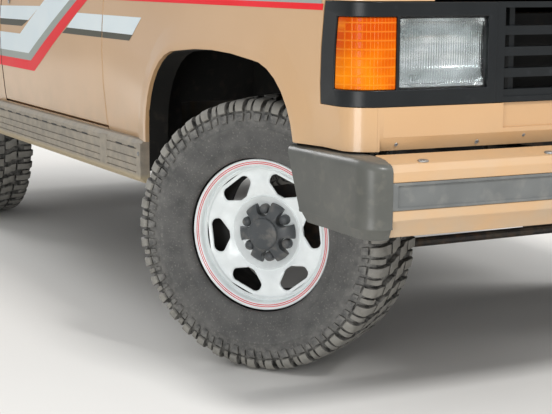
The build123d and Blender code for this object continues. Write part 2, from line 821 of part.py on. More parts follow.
# Lamp bezels with the lamps and turn signals that fill their openings, mirrored to both sides
bezel_depth = 28
signal_inset = 4
lamp_inset = 6
lamp_depth = 60
lamp_divider = 4
lamp_gap = seat_gap
bezel_part = skin - front_mass(bezel_depth)
with BuildPart() as bezel_right:
    add(bezel_part)
    block(-far_side, far_side, aft(bezel_rear - seat_depth), aft(1100), shell_floor, shell_ceiling, mode=Mode.SUBTRACT)
    block(-far_side, far_side, far_front, aft(1100), shell_floor, bezel_low + seat_gap, mode=Mode.SUBTRACT)
    block(-far_side, far_side, far_front, aft(1100), bezel_high, shell_ceiling, mode=Mode.SUBTRACT)
    block(-bezel_inner_x, far_side, far_front, aft(1100), shell_floor, shell_ceiling, mode=Mode.SUBTRACT)
    block(
        -far_side, -lamp_outer_x - lamp_divider, far_front, aft(signal_rear), lamp_low, lamp_high, mode=Mode.SUBTRACT
    )
    block(lamp_divider - lamp_outer_x, -lamp_inner_x, far_front, aft(0), lamp_low, lamp_high, mode=Mode.SUBTRACT)
with BuildPart() as signal_right:
    add(front_mass(signal_inset))
    add(front_mass(bezel_depth), mode=Mode.SUBTRACT)
    block(
        -far_side, -lamp_outer_x - lamp_divider - lamp_gap, far_front, aft(signal_rear - lamp_gap),
        lamp_low + lamp_gap, lamp_high - lamp_gap, mode=Mode.INTERSECT,
    )
with BuildPart() as lamp_right:
    add(front_mass(lamp_inset))
    add(front_mass(lamp_depth), mode=Mode.SUBTRACT)
    block(
        lamp_divider - lamp_outer_x + lamp_gap, -lamp_inner_x - lamp_gap, far_front, aft(-600),
        lamp_low + lamp_gap, lamp_high - lamp_gap, mode=Mode.INTERSECT,
    )
for name, piece in (("headlamp_bezels", bezel_right), ("turn_signals", signal_right), ("headlamps", lamp_right)):
    with BuildPart() as pair:
        add(piece.part)
        mirror(piece.part, about=Plane.YZ)
    pair.part.label = name
    export_step(pair.part, "parts/" + name + ".step")

# Grille: frame, slats and the upright posts behind them
grille_frame_x = bezel_inner_x - 27
grille_open_low = 832
grille_open_high = 1056
slat_height = 23
slat_tops = (1010, 957, 903, 850)
post_width = 16
post_places = [share * (grille_frame_x - 39) / 2 for share in (-2, -1, 0, 1, 2)]
grille_part = front_mass(3) - front_mass(30)
slat_part = front_mass(8) - front_mass(42)
post_part = front_mass(29) - front_mass(42)
slat_length = 2 * grille_frame_x + 12
slats = [slat_part & Pos(0, aft(-750), top - slat_height / 2) * Box(slat_length, 200, slat_height) for top in slat_tops]
post_height = grille_open_high - grille_open_low + 16
post_z = (grille_open_high + grille_open_low) / 2
posts = [post_part & Pos(x, aft(-750), post_z) * Box(post_width, 200, post_height) for x in post_places]
with BuildPart() as grille:
    add(grille_part)
    block(
        seat_gap - bezel_inner_x, bezel_inner_x - seat_gap, far_front, aft(-600), bezel_low + 2, bezel_high,
        mode=Mode.INTERSECT,
    )
    block(
        -grille_frame_x, grille_frame_x, far_front, aft(-600), grille_open_low, grille_open_high, mode=Mode.SUBTRACT
    )
    for bar in slats + posts:
        add(bar)
grille.part.label = "grille"
export_step(grille.part, "parts/grille.step")


def bowed(points, half_length):
    """Bar with a (depth behind the nose line, z) section that follows the front end's bow."""
    start = math.asin(half_length / front_bow)
    pivot_y = aft(-front_overhang) + front_bow
    outward = (-math.sin(start), -math.cos(start), 0)
    plane = Plane(origin=(0, pivot_y, 0), x_dir=outward, z_dir=(-math.cos(start), math.sin(start), 0))
    with BuildSketch(plane) as shape:
        with BuildLine():
            Polyline(*[(front_bow - depth, z) for depth, z in points], close=True)
        make_face()
    pivot = Axis((0, pivot_y, 0), (0, 0, 1))
    return revolve(shape.sketch, axis=pivot, revolution_arc=2 * math.degrees(start), mode=Mode.PRIVATE)


# Valence panel under the lamps and the grille, with its middle recess and its lower edge bent inward
recess_depth = 10
recess_half = bezel_inner_x - 26
recess_low = 753
nose_depth = front_overhang + nose
lip_bend_z = 742
lip_slope = 16
lip_cut = (
    (nose_depth - 30, lip_bend_z), (nose_depth, lip_bend_z), (nose_depth + lip_slope, valence_low),
    (nose_depth + lip_slope, valence_low - 10), (nose_depth - 30, valence_low - 10),
)
lip_bar = (
    (nose_depth + 0.5, lip_bend_z + 4), (nose_depth + panel, lip_bend_z + 4),
    (nose_depth + panel + lip_slope, valence_low), (nose_depth + lip_slope, valence_low),
    (nose_depth + 0.5, lip_bend_z - 1),
)
recess = (skin - front_mass(recess_depth)) & Pos(0, aft(-780), recess_low + 50) * Box(2 * recess_half, 300, 100)
with BuildPart() as valence:
    add(skin)
    add(skin_inner, mode=Mode.SUBTRACT)
    block(
        seat_gap - valence_seam_x, valence_seam_x - seat_gap, far_front, aft(-600), valence_low, bezel_low,
        mode=Mode.INTERSECT,
    )
    add(recess, mode=Mode.SUBTRACT)
    add(bowed(lip_cut, valence_seam_x), mode=Mode.SUBTRACT)
    add(bowed(lip_bar, valence_seam_x - nose_corner / 2))
valence.part.label = "front_valence"
export_step(valence.part, "parts/front_valence.step")


# Front bumper: pressed steel bar with a recessed plastic strip and wrap-round end caps
bumper_half = body_half_width - 48
strip_low = 580
strip_high = 647
strip_recess = 10
bumper_profile = (
    (28, 510), (8, 548), (2, 556), (2, strip_low), (strip_recess, strip_low), (strip_recess, strip_high),
    (2, strip_high), (2, 672), (16, 690), (95, 704), (95, 696), (26, 683), (21, 668), (21, 560), (44, 516),
)
with BuildPart() as front_bumper:
    add(bowed(bumper_profile, bumper_half))
    for side in (-1, 1):
        x_a = side * (rail_inner + 10)
        x_b = side * (rail_outer - 10)
        block(min(x_a, x_b), max(x_a, x_b), aft(-882), aft(cross_members[0][0] - seat_gap), 590, 635)
front_bumper.part.label = "front_bumper"
export_step(front_bumper.part, "parts/front_bumper.step")

cap_side_x = body_half_width + 22
cap_wall = 30
cap_corner = 60
cap_front = -876
cap_low = 507
cap_crease = 536
cap_high = 698
cap_roof = 14
cap_draft = 28


def cap_plan(inset, height):
    """Plan of the right-hand bumper cap with its rounded corner, longer at both ends than the cap."""
    turn_x = cap_corner - cap_side_x
    turn_y = cap_front + cap_corner + 3
    radius = cap_corner - inset
    points = [(80 - bumper_half, aft(turn_y - radius))]
    for step in range(5):
        angle = math.radians(90 * step / 4)
        points.append((turn_x - radius * math.sin(angle), aft(turn_y - radius * math.cos(angle))))
    points += [(inset - cap_side_x, aft(-380)), (80 - bumper_half, aft(-380))]
    with BuildSketch(Plane.XY.offset(height)) as shape:
        with BuildLine():
            Polyline(*points, close=True)
        make_face()
    return shape.sketch


with BuildPart() as cap_right:
    extrude(cap_plan(0, cap_crease), amount=cap_high - cap_crease)
    extrude(cap_plan(0, cap_crease), amount=cap_low - cap_crease, taper=cap_draft)
    extrude(cap_plan(cap_wall, cap_low), amount=cap_high - cap_roof - cap_low, mode=Mode.SUBTRACT)
    rear_cut = [(aft(-469), 720), (aft(-469), 698), (aft(-556), 503), (aft(-556), 480), (aft(-300), 480), (aft(-300), 720)]
    extrude(side_shape(-far_side, rear_cut), amount=500, mode=Mode.SUBTRACT)
    top_cut = [(aft(-900), 720), (aft(-900), 672), (aft(-800), 688), (aft(-469), 698.5), (aft(-300), 720)]
    extrude(side_shape(-far_side, top_cut), amount=500, mode=Mode.SUBTRACT)
    block(-bumper_half - seat_gap, 0, aft(-950), aft(-300), cap_low - 50, cap_high + 50, mode=Mode.SUBTRACT)
with BuildPart() as bumper_trim:
    add(cap_right.part)
    mirror(cap_right.part, about=Plane.YZ)
    strip_profile = (
        (0, strip_low + seat_gap), (0, strip_high - seat_gap),
        (strip_recess - seat_gap, strip_high - seat_gap), (strip_recess - seat_gap, strip_low + seat_gap),
    )
    add(bowed(strip_profile, bumper_half))
bumper_trim.part.label = "front_bumper_trim"
export_step(bumper_trim.part, "parts/front_bumper_trim.step")

# Rear bumper
rear_bumper_low = 530
rear_bumper_high = 690
rear_bumper_wall = 8
pin_hole_radius = 12.5
with BuildPart() as rear_bumper:
    block(
        -bumper_half, bumper_half, aft(bed_rear + 8), aft(overall_length - front_overhang),
        rear_bumper_low, rear_bumper_high,
    )
    block(
        rear_bumper_wall - bumper_half, bumper_half - rear_bumper_wall,
        aft(bed_rear), aft(overall_length - front_overhang - rear_bumper_wall),
        rear_bumper_low - 10, rear_bumper_high - rear_bumper_wall, mode=Mode.SUBTRACT,
    )
    for side in (-1, 1):
        x_a = side * (rail_inner + 10)
        x_b = side * (rail_outer - 10)
        block(min(x_a, x_b), max(x_a, x_b), aft(cross_members[-1][1] + seat_gap), aft(bed_rear + 80), 590, 650)
    with BuildSketch(Plane.XY.offset(rear_bumper_high - rear_bumper_wall)):
        with Locations((0, aft(bed_rear + 48))):
            Circle(pin_hole_radius)
    extrude(amount=rear_bumper_wall, mode=Mode.SUBTRACT)
rear_bumper.part.label = "rear_bumper"
export_step(rear_bumper.part, "parts/rear_bumper.step")

# Cab shell: hollow, with the door openings, front and rear screens and a floor above the rails
cab_wall = 88
roof_wall = 40
end_wall = 45
door_thickness = 60
floor_high = 732
inner_sill_x = body_half_width - 178
tunnel_half = 190
tunnel_wall = 15
tunnel_rear = 1180
tunnel_top = 835
screen_low_z = 1228
screen_wide = body_half_width - 163
screen_narrow = body_half_width - 273
rear_screen_wide = body_half_width - 278
rear_screen_narrow = body_half_width - 338
front_screen = screen_outline(screen_wide, screen_narrow, screen_low_z, 1800)
rear_screen = screen_outline(rear_screen_wide, rear_screen_narrow, 1270, 1700)
cab_solid = cab_mass(0, 0, 0)
cab_inside = cab_mass(cab_wall, roof_wall, end_wall)
door_inside = cab_mass(door_thickness, 20, 0)
stop_inside = cab_mass(door_thickness + 6, 20, 0)
door_slot = extrude(side_shape(-far_side, door_outline(seam)), amount=700) - stop_inside
door_hole = extrude(side_shape(-far_side, door_outline(-stop_lap)), amount=700)
fender_seat = front_mass(panel + seat_gap)
fender_zone = Pos(1500 + hood_half_width, aft(600), 740) * Box(3000, 630, 900) - fender_seat
cab_void = cab_inside & Pos(0, aft(1500), 1000 + floor_high) * Box(3000, 3000, 2000)
with BuildPart() as cab_shell:
    add(cab_solid)
    add(cab_void, mode=Mode.SUBTRACT)
    block(-inner_sill_x, inner_sill_x, aft(500), aft(2400), underbody_z - 20, floor_low, mode=Mode.SUBTRACT)
    for opening in (fender_zone, door_slot, door_hole):
        add(opening, mode=Mode.SUBTRACT)
        add(mirror(opening, about=Plane.YZ, mode=Mode.PRIVATE), mode=Mode.SUBTRACT)
    block(-tunnel_half, tunnel_half, aft(cab_front), aft(tunnel_rear), floor_low, tunnel_top)
    block(
        tunnel_wall - tunnel_half, tunnel_half - tunnel_wall, aft(cab_front - 10), aft(tunnel_rear - tunnel_wall),
        floor_low - 10, tunnel_top - tunnel_wall, mode=Mode.SUBTRACT,
    )
    extrude(cross_shape(aft(cab_front - 10), front_screen), amount=-700, mode=Mode.SUBTRACT)
    extrude(cross_shape(aft(2100), rear_screen), amount=-300, mode=Mode.SUBTRACT)
cab_shell.part.label = "cab_shell"
export_step(cab_shell.part, "parts/cab_shell.step")

# Windscreen and rear window
glass_inset = 10
glass_thickness = 6
windscreen_outline = screen_outline(screen_wide - 1, screen_narrow - 1, screen_low_z + 1, 1799)
rear_outline = screen_outline(rear_screen_wide - seat_gap, rear_screen_narrow - seat_gap, 1270 + seat_gap, 1700 - seat_gap)
glass_skin = cab_mass(0, 0, glass_inset) - cab_mass(0, 0, glass_inset + glass_thickness)
front_glass = glass_skin & extrude(cross_shape(aft(cab_front + 60), windscreen_outline), amount=-700)
rear_glass = glass_skin & extrude(cross_shape(aft(2100), rear_outline), amount=-300)
with BuildPart() as cab_windows:
    add(front_glass)
    add(rear_glass)
cab_windows.part.label = "cab_windows"
export_step(cab_windows.part, "parts/cab_windows.step")

# Doors with their glass and mirrors
window_inset = 24
with BuildPart() as door_right:
    extrude(side_shape(-far_side, door_outline(0)), amount=700)
    add(cab_solid, mode=Mode.INTERSECT)
    add(door_inside, mode=Mode.SUBTRACT)
    extrude(side_shape(-far_side, window_outline(0)), amount=700, mode=Mode.SUBTRACT)
with BuildPart() as door_glass_right:
    extrude(side_shape(-far_side, window_outline(seat_gap)), amount=700)
    add(cab_mass(window_inset, 20, 0), mode=Mode.INTERSECT)
    add(cab_mass(window_inset + glass_thickness, 20, 0), mode=Mode.SUBTRACT)
mirror_inner_x = body_half_width + 12
mirror_width = 140
mirror_front = 985
mirror_rear = 1035
mirror_low = 1240
mirror_high = 1440
mirror_foot_z = 1114
with BuildPart() as mirror_right:
    block(-mirror_inner_x - mirror_width, -mirror_inner_x, aft(mirror_front), aft(mirror_rear), mirror_low, mirror_high)
    chamfer(mirror_right.edges().filter_by(Axis.Y), 18)
    chamfer(mirror_right.faces().sort_by(Axis.Y)[0].edges(), 14)
    rod((-mirror_inner_x - 20, aft(1010), mirror_low + 10), (-body_half_width, aft(1010), mirror_foot_z + 10), 8, sides=8)
    block(
        -body_half_width - 8, -half_width(mirror_foot_z) - 0.2, aft(mirror_front), aft(mirror_rear),
        mirror_foot_z, mirror_foot_z + 20,
    )
for name, piece in (("door", door_right), ("door_glass", door_glass_right), ("mirror", mirror_right)):
    with BuildPart() as other_side:
        mirror(piece.part, about=Plane.YZ)
    for side_name, sided in (("right", piece), ("left", other_side)):
        sided.part.label = name + "_" + side_name
        export_step(sided.part, "parts/" + name + "_" + side_name + ".step")

# Cargo bed with wheel boxes, corner posts and flared arches
bed_floor_low = 745
bed_floor_high = 770
bed_inner_x = body_half_width - 73
bed_wall = 40
gate_half = body_half_width - 225
gate_thickness = 45
box_half = 470
box_inner_x = rear_wheel_x - 198
box_top = 905
box_wall = 15
gate_low = 752
gate_high = 1180
gate_border = 70
gate_recess = 9
gate_gap = 10
gate_pin_y = aft(bed_rear - 12)
gate_pin_z = gate_low + 12
gate_pin_radius = 8
bed_sills = (bed_front + 90, bed_front + 520, bed_rear - 640, bed_rear - 210)
with BuildPart() as cargo_bed:
    extrude(lower_body_section(aft(bed_front), 0, underbody_z), amount=bed_front - bed_rear)
    add(flare(rear_axle_y))
    block(-far_side, far_side, aft(bed_front), aft(bed_rear), underbody_z - 200, sill_z - 10, mode=Mode.SUBTRACT)
    block(
        -bed_inner_x, bed_inner_x, aft(bed_front + bed_wall), aft(bed_rear - 60), bed_floor_high, shell_ceiling,
        mode=Mode.SUBTRACT,
    )
    post_x = gate_half + seam
    block(-post_x, post_x, aft(bed_rear - 70), aft(bed_rear + 10), bed_floor_high, shell_ceiling, mode=Mode.SUBTRACT)
    block(
        -post_x, post_x, aft(bed_rear - gate_thickness - gate_gap), aft(bed_rear + 10), underbody_z, shell_ceiling,
        mode=Mode.SUBTRACT,
    )
    for side in (-1, 1):
        bore(
            (side * (post_x - 5), gate_pin_y, gate_pin_z),
            (side * (post_x + 20), gate_pin_y, gate_pin_z),
            gate_pin_radius + running_clearance,
        )
    block(
        43 - body_half_width, body_half_width - 43, aft(bed_front - 1), aft(bed_rear + 1), underbody_z, bed_floor_low,
        mode=Mode.SUBTRACT,
    )
    for side in (-1, 1):
        x_a = side * box_inner_x
        x_b = side * (bed_inner_x + 5)
        block(
            min(x_a, x_b), max(x_a, x_b), rear_axle_y - box_half, rear_axle_y + box_half, bed_floor_low, box_top
        )
        x_a = side * (box_inner_x + box_wall)
        x_b = side * (bed_inner_x + 35)
        block(
            min(x_a, x_b), max(x_a, x_b), rear_axle_y - box_half + box_wall, rear_axle_y + box_half - box_wall,
            bed_floor_low - 10, box_top - box_wall, mode=Mode.SUBTRACT,
        )
    for place in bed_sills:
        block(-rail_outer, rail_outer, aft(place), aft(place + 60), rail_high + seat_gap, bed_floor_low + 1)
    add(mirror(flare(rear_axle_y), about=Plane.YZ, mode=Mode.PRIVATE))
    block(-far_side, far_side, aft(bed_front), aft(bed_rear), underbody_z - 300, sill_z - 10, mode=Mode.SUBTRACT)
    add(arch_hole(rear_axle_y, 290), mode=Mode.SUBTRACT)
    add(mirror(arch_hole(rear_axle_y, 290), about=Plane.YZ, mode=Mode.PRIVATE), mode=Mode.SUBTRACT)
cargo_bed.part.label = "cargo_bed"
export_step(cargo_bed.part, "parts/cargo_bed.step")

with BuildPart() as tailgate:
    block(-gate_half, gate_half, aft(bed_rear - gate_thickness), aft(bed_rear), gate_low, gate_high)
    block(
        gate_border - gate_half, gate_half - gate_border, aft(bed_rear - gate_recess), aft(bed_rear + 10),
        gate_low + gate_border, gate_high - gate_border, mode=Mode.SUBTRACT,
    )
    for side in (-1, 1):
        pin(
            (side * (gate_half - 20), gate_pin_y, gate_pin_z),
            (side * (gate_half + seam + 15), gate_pin_y, gate_pin_z),
            gate_pin_radius,
        )
tailgate.part.label = "tailgate"
export_step(tailgate.part, "parts/tailgate.step")

with BuildPart() as tail_lamps:
    for side in (-1, 1):
        x_a = side * (body_half_width - 188)
        x_b = side * bumper_half
        block(min(x_a, x_b), max(x_a, x_b), aft(bed_rear + seat_gap), aft(bed_rear + 8), 840, 1010)
tail_lamps.part.label = "tail_lamps"
export_step(tail_lamps.part, "parts/tail_lamps.step")

# Sill claddings
cladding_front = 545
cladding_rear = 2215
cladding_low = 460
cladding_back_x = body_half_width - 21.7
cladding_face_x = body_half_width + 12
cladding_rib = (846, 912)
groove_half = 2.5
groove_depth = 5
grooves = (571, 540, 515, 493)
cladding_profile = [
    (cladding_back_x, cladding_low), (cladding_back_x, cladding_top), (body_half_width, cladding_top),
    (cladding_face_x, cladding_top - 13),
]
for groove in grooves:
    cladding_profile += [
        (cladding_face_x, groove + groove_half), (cladding_face_x - groove_depth, groove),
        (cladding_face_x, groove - groove_half),
    ]
cladding_profile += [(cladding_face_x - 2, cladding_low + 16), (body_half_width - 4, cladding_low)]
with BuildPart() as sill_claddings:
    for side in (-1, 1):
        points = [(side * x, z) for x, z in cladding_profile]
        extrude(cross_shape(aft(cladding_front), points), amount=cladding_front - cladding_rear)
        x_a = side * body_half_width
        x_b = side * (cladding_face_x + 1)
        for y_low, y_high, z_low in ((*cladding_rib, 490), (cladding_front, cladding_front + 34, cladding_low + 14)):
            block(min(x_a, x_b), max(x_a, x_b), aft(y_low), aft(y_high), z_low, cladding_top - 10)
sill_claddings.part.label = "sill_claddings"
export_step(sill_claddings.part, "parts/sill_claddings.step")

# Engine bay: inner aprons with the arch shelves, and the radiator with its support
apron_x = 520
apron_wall = 12
with BuildPart() as engine_bay:
    for side in (-1, 1):
        x_a = side * apron_x
        x_b = side * (apron_x + apron_wall)
        block(min(x_a, x_b), max(x_a, x_b), aft(-690), aft(cab_front - seat_gap), 660, 1050)
        x_b = side * (body_half_width - 27)
        block(min(x_a, x_b), max(x_a, x_b), aft(-560), aft(560), 985, 997)
    block(-apron_x - 1, apron_x + 1, aft(-690), aft(-640), 700, 1040)
engine_bay.part.label = "engine_bay_panels"
export_step(engine_bay.part, "parts/engine_bay_panels.step")

# Bench seat, dashboard and steering wheel
seat_half = body_half_width - 288
with BuildPart() as bench_seat:
    block(10 - seat_half, seat_half - 10, aft(1520), aft(2020), floor_high + seat_gap, 900)
    block(-seat_half, seat_half, aft(1480), aft(2030), 880, 1010)
    block(-seat_half, seat_half, aft(1960), aft(2110), 1000, 1480)
    chamfer(bench_seat.edges().filter_by(Axis.X).sort_by(Axis.Y)[:2], 25)
bench_seat.part.label = "bench_seat"
export_step(bench_seat.part, "parts/bench_seat.step")

dash_rear = 980
with BuildPart() as dashboard:
    dash_half = body_half_width - 138
    block(-dash_half, dash_half, aft(cab_front + end_wall + seat_gap), aft(dash_rear), 970, 1120)
    chamfer(dashboard.edges().filter_by(Axis.X).sort_by(Axis.Y)[-2:], 30)
dashboard.part.label = "dashboard"
export_step(dashboard.part, "parts/dashboard.step")

wheel_x = 380
column_tilt = math.radians(28)
column_foot = Vector(wheel_x, aft(dash_rear + seat_gap + 24 * math.sin(column_tilt)), 1060)
column_way = Vector(0, math.cos(column_tilt), math.sin(column_tilt))
wheel_hub = column_foot + column_way * 190
with BuildPart() as steering_wheel:
    rod(column_foot, wheel_hub, 24)
    rim_plane = Plane(origin=wheel_hub, x_dir=(1, 0, 0), z_dir=column_way)
    with BuildSketch(rim_plane):
        RegularPolygon(190, 24)
        RegularPolygon(166, 24, mode=Mode.SUBTRACT)
    extrude(amount=24)
    with BuildSketch(rim_plane):
        Rectangle(350, 34)
        RegularPolygon(50, 12)
    extrude(amount=16)
steering_wheel.part.label = "steering_wheel"
export_step(steering_wheel.part, "parts/steering_wheel.step")
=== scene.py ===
# %% [markdown]
# The lifted off-road pickup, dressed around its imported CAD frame. The frame holds every piece at its real
# size and place, in metres: front is -Y, the vehicle's right is -X, up is +Z. This script adds the looks: the
# finishes, the tyres' tread, the pressed rims, the lamps, the stripes, the small fasteners and the seat.

# %% Load the frame
import json
import math

import bmesh
import bpy
from mathutils import Matrix, Vector


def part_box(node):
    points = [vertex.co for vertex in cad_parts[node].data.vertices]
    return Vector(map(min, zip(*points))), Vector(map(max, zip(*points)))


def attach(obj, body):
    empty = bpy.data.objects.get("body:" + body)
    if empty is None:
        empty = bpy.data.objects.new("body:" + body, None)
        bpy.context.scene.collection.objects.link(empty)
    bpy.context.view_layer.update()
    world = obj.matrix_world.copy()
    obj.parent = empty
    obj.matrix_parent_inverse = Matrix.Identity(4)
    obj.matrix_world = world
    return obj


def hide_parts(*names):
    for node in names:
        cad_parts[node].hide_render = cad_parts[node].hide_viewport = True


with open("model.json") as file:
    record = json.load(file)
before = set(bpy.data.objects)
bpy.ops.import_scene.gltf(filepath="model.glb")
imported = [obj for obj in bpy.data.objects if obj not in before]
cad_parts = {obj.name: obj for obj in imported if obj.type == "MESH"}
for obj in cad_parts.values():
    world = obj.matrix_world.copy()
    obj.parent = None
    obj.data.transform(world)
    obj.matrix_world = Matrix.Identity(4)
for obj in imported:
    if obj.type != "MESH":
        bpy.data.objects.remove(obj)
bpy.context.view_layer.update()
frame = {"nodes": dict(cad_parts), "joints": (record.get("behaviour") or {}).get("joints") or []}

nodes = frame["nodes"]

# %% [markdown]
# Two helpers carry all the finishes. Paint and plastic colours are given as sRGB hex values, and the
# shader wants linear light, so one function turns them. Another adds a single shader node with its settings
# and its links, so that each finish reads as a short recipe.

# %% Colour and shader node helpers
def linear(hex_colour):
    """An sRGB colour such as '#D6B48C' as linear red, green, blue and alpha."""
    channels = [int(hex_colour[i:i + 2], 16) / 255 for i in (1, 3, 5)]
    return [c / 12.92 if c <= 0.04045 else ((c + 0.055) / 1.055) ** 2.4 for c in channels] + [1.0]


def add_node(tree, kind, settings=None, links=None):
    """One shader node. Settings go to its sockets or properties, and links feed its sockets."""
    node = tree.nodes.new(kind)
    for key, value in (settings or {}).items():
        if isinstance(key, int) or key in node.inputs:
            node.inputs[key].default_value = value
        else:
            setattr(node, key, value)
    for key, source in (links or {}).items():
        tree.links.new(source, node.inputs[key])
    return node


def new_finish(name, settings):
    """An empty material. Returns it with its tree, its main shader and the places on the object."""
    material = bpy.data.materials.new(name)
    material.use_nodes = True
    tree = material.node_tree
    tree.nodes.clear()
    shader = add_node(tree, "ShaderNodeBsdfPrincipled", settings)
    add_node(tree, "ShaderNodeOutputMaterial", {}, {"Surface": shader.outputs[0]})
    places = add_node(tree, "ShaderNodeTexCoord").outputs["Object"]
    return material, tree, shader, places


print("mid grey as linear light", linear("#808080"))

# %% [markdown]
# The recipes share a few turns: patches of a real size, a blend of two colours, dust that grows downward, and
# roughness and relief that follow a share. All sizes in them are in metres, as on the vehicle.

# %% Patches, dust and relief
def spots(tree, places, size, low, high, detail=4.0):
    """Noise patches of a real size in metres, with contrast between low and high, from 0 to 1."""
    noise = add_node(tree, "ShaderNodeTexNoise", {"Scale": 1 / size, "Detail": detail}, {"Vector": places})
    return add_node(
        tree, "ShaderNodeMapRange", {"From Min": low, "From Max": high}, {"Value": noise.outputs["Fac"]}
    ).outputs[0]


def mixed(tree, share, first, second):
    """Blend of two colours by a share. Each colour is a hex value or a socket."""
    node = add_node(tree, "ShaderNodeMix", {"data_type": "RGBA"}, {"Factor": share})
    for index, colour in ((6, first), (7, second)):
        if isinstance(colour, str):
            node.inputs[index].default_value = linear(colour)
        else:
            tree.links.new(colour, node.inputs[index])
    return node.outputs[2]


def below(tree, places, top, bottom):
    """Share that grows from 0 at the height top to 1 at the height bottom, for road dust."""
    split = add_node(tree, "ShaderNodeSeparateXYZ", {}, {"Vector": places})
    return add_node(
        tree, "ShaderNodeMapRange", {"From Min": top, "From Max": bottom}, {"Value": split.outputs["Z"]}
    ).outputs[0]


def times(tree, first, second):
    """Product of two shares. The second may be a plain number."""
    node = add_node(tree, "ShaderNodeMath", {"operation": "MULTIPLY"}, {0: first})
    if isinstance(second, float):
        node.inputs[1].default_value = second
    else:
        tree.links.new(second, node.inputs[1])
    return node.outputs[0]


def rough_by(tree, shader, share, smooth, rough):
    """Roughness from smooth to rough by a share."""
    node = add_node(tree, "ShaderNodeMapRange", {"To Min": smooth, "To Max": rough}, {"Value": share})
    tree.links.new(node.outputs[0], shader.inputs["Roughness"])


def bumped(tree, shader, height, strength, depth):
    """Relief of this depth in metres on the main shader."""
    node = add_node(tree, "ShaderNodeBump", {"Strength": strength, "Distance": depth}, {"Height": height})
    tree.links.new(node.outputs[0], shader.inputs["Normal"])
    return node


print("finish helpers ready")

# %% [markdown]
# The body is sprayed with tan acrylic enamel. Sprayed enamel has a faint orange peel, a glossy coat and a
# little fading, and on this vehicle road dust dulls it toward the sills. Dust is a second colour that grows
# downward and in patches, and it is rougher than the paint.

# %% Sprayed enamel of the body
def sprayed_enamel(name, colour, faded, dust_top):
    """A glossy coat for a soft reflection. Orange peel breaks it up, and dust dulls it low down."""
    material, tree, shader, places = new_finish(
        name, {"Coat Weight": 0.5, "Coat Roughness": 0.12, "IOR": 1.5},
    )
    fading = spots(tree, places, 0.6, 0.35, 0.7)
    dust = times(tree, below(tree, places, dust_top, 0.42), spots(tree, places, 0.09, 0.3, 0.75))
    colours = mixed(tree, dust, mixed(tree, fading, colour, faded), "#B7A68F")
    tree.links.new(colours, shader.inputs["Base Color"])
    rough_by(tree, shader, dust, 0.32, 0.75)
    peel = add_node(tree, "ShaderNodeTexNoise", {"Scale": 1 / 0.012, "Detail": 1.0}, {"Vector": places})
    bumped(tree, shader, peel.outputs["Fac"], 0.25, 0.0004)
    return material


def baked_enamel(name, colour, dulled):
    """Wheel paint baked on pressed steel: even, a little metallic, with brake dust in faint patches."""
    material, tree, shader, places = new_finish(name, {"Metallic": 0.1, "IOR": 1.5, "Coat Weight": 0.3})
    dull = spots(tree, places, 0.05, 0.35, 0.75, 6.0)
    tree.links.new(mixed(tree, dull, colour, dulled), shader.inputs["Base Color"])
    rough_by(tree, shader, dull, 0.35, 0.5)
    return material


tan_enamel = sprayed_enamel("tan_acrylic_enamel_sprayed", "#CCA579", "#C49C70", 0.80)
silver_enamel = baked_enamel("silver_enamel_baked", "#EEF3F3", "#DFE4E4")
print("paints", tan_enamel.name, silver_enamel.name)

# %% [markdown]
# Plastics come from moulds with a fine etched grain. The lamp surrounds are charcoal and nearly clean. The
# bumper's caps are grey, and its strip is bleached by the sun. The sill claddings are so dusty that they look
# beige, and their lowest band, which catches the spray, is nearly tan. Rubber trim, underseal and the cabin's
# parts have a grain too. So one recipe makes them all, with the grain drawn at 1.5 mm so that it still shows.

# %% Moulded plastics
def moulded_plastic(name, colour, worn, dust, dust_low, dust_high, smooth, rough, hem=None):
    """Fine grain under patchy dust. A hem, as top, bottom and colour, is a band that spray keeps dusty."""
    material, tree, shader, places = new_finish(name, {"IOR": 1.49, "Specular IOR Level": 0.3})
    bleached = spots(tree, places, 0.12, 0.35, 0.7)
    dusty = spots(tree, places, 0.035, dust_low, dust_high, 8.0)
    shade = mixed(tree, dusty, mixed(tree, bleached, colour, worn), dust)
    if hem:
        shade = mixed(tree, below(tree, places, hem[0], hem[1]), shade, hem[2])
    tree.links.new(shade, shader.inputs["Base Color"])
    rough_by(tree, shader, dusty, smooth, rough)
    grain = add_node(tree, "ShaderNodeTexNoise", {"Scale": 1 / 0.0015, "Detail": 2.0}, {"Vector": places})
    bumped(tree, shader, grain.outputs["Fac"], 0.3, 0.0003)
    return material


charcoal_plastic = moulded_plastic(
    "charcoal_abs_moulded", "#15181A", "#1B1E20", "#303336", 0.62, 0.95, 0.32, 0.48,
)
grey_plastic = moulded_plastic(
    "grey_polypropylene_moulded", "#535450", "#5F5F5A", "#76736A", 0.55, 0.95, 0.3, 0.5,
)
bleached_strip = moulded_plastic(
    "bleached_polypropylene_strip", "#666867", "#717372", "#85847F", 0.5, 0.9, 0.3, 0.5,
)
cladding_hem = (0.490, 0.476, "#B5A68A")
dusty_plastic = moulded_plastic(
    "dusty_pvc_cladding_moulded", "#857F75", "#928B80", "#ABA191", 0.3, 0.75, 0.6, 0.85, cladding_hem
)
cabin_plastic = moulded_plastic(
    "brown_cabin_abs_moulded", "#4B4037", "#54493F", "#6B6157", 0.65, 0.95, 0.5, 0.65,
)
black_rubber_trim = moulded_plastic(
    "black_epdm_extruded", "#1B1B1B", "#232322", "#4A4640", 0.6, 0.95, 0.5, 0.7,
)
underseal = moulded_plastic("black_underseal_brushed", "#141413", "#1C1B19", "#3D372F", 0.55, 0.95, 0.6, 0.85)
hub_plastic = moulded_plastic("charcoal_nylon_hub_cap", "#484B4D", "#545658", "#85817A", 0.5, 0.85, 0.35, 0.6)
print("plastics", charcoal_plastic.name, grey_plastic.name, dusty_plastic.name)
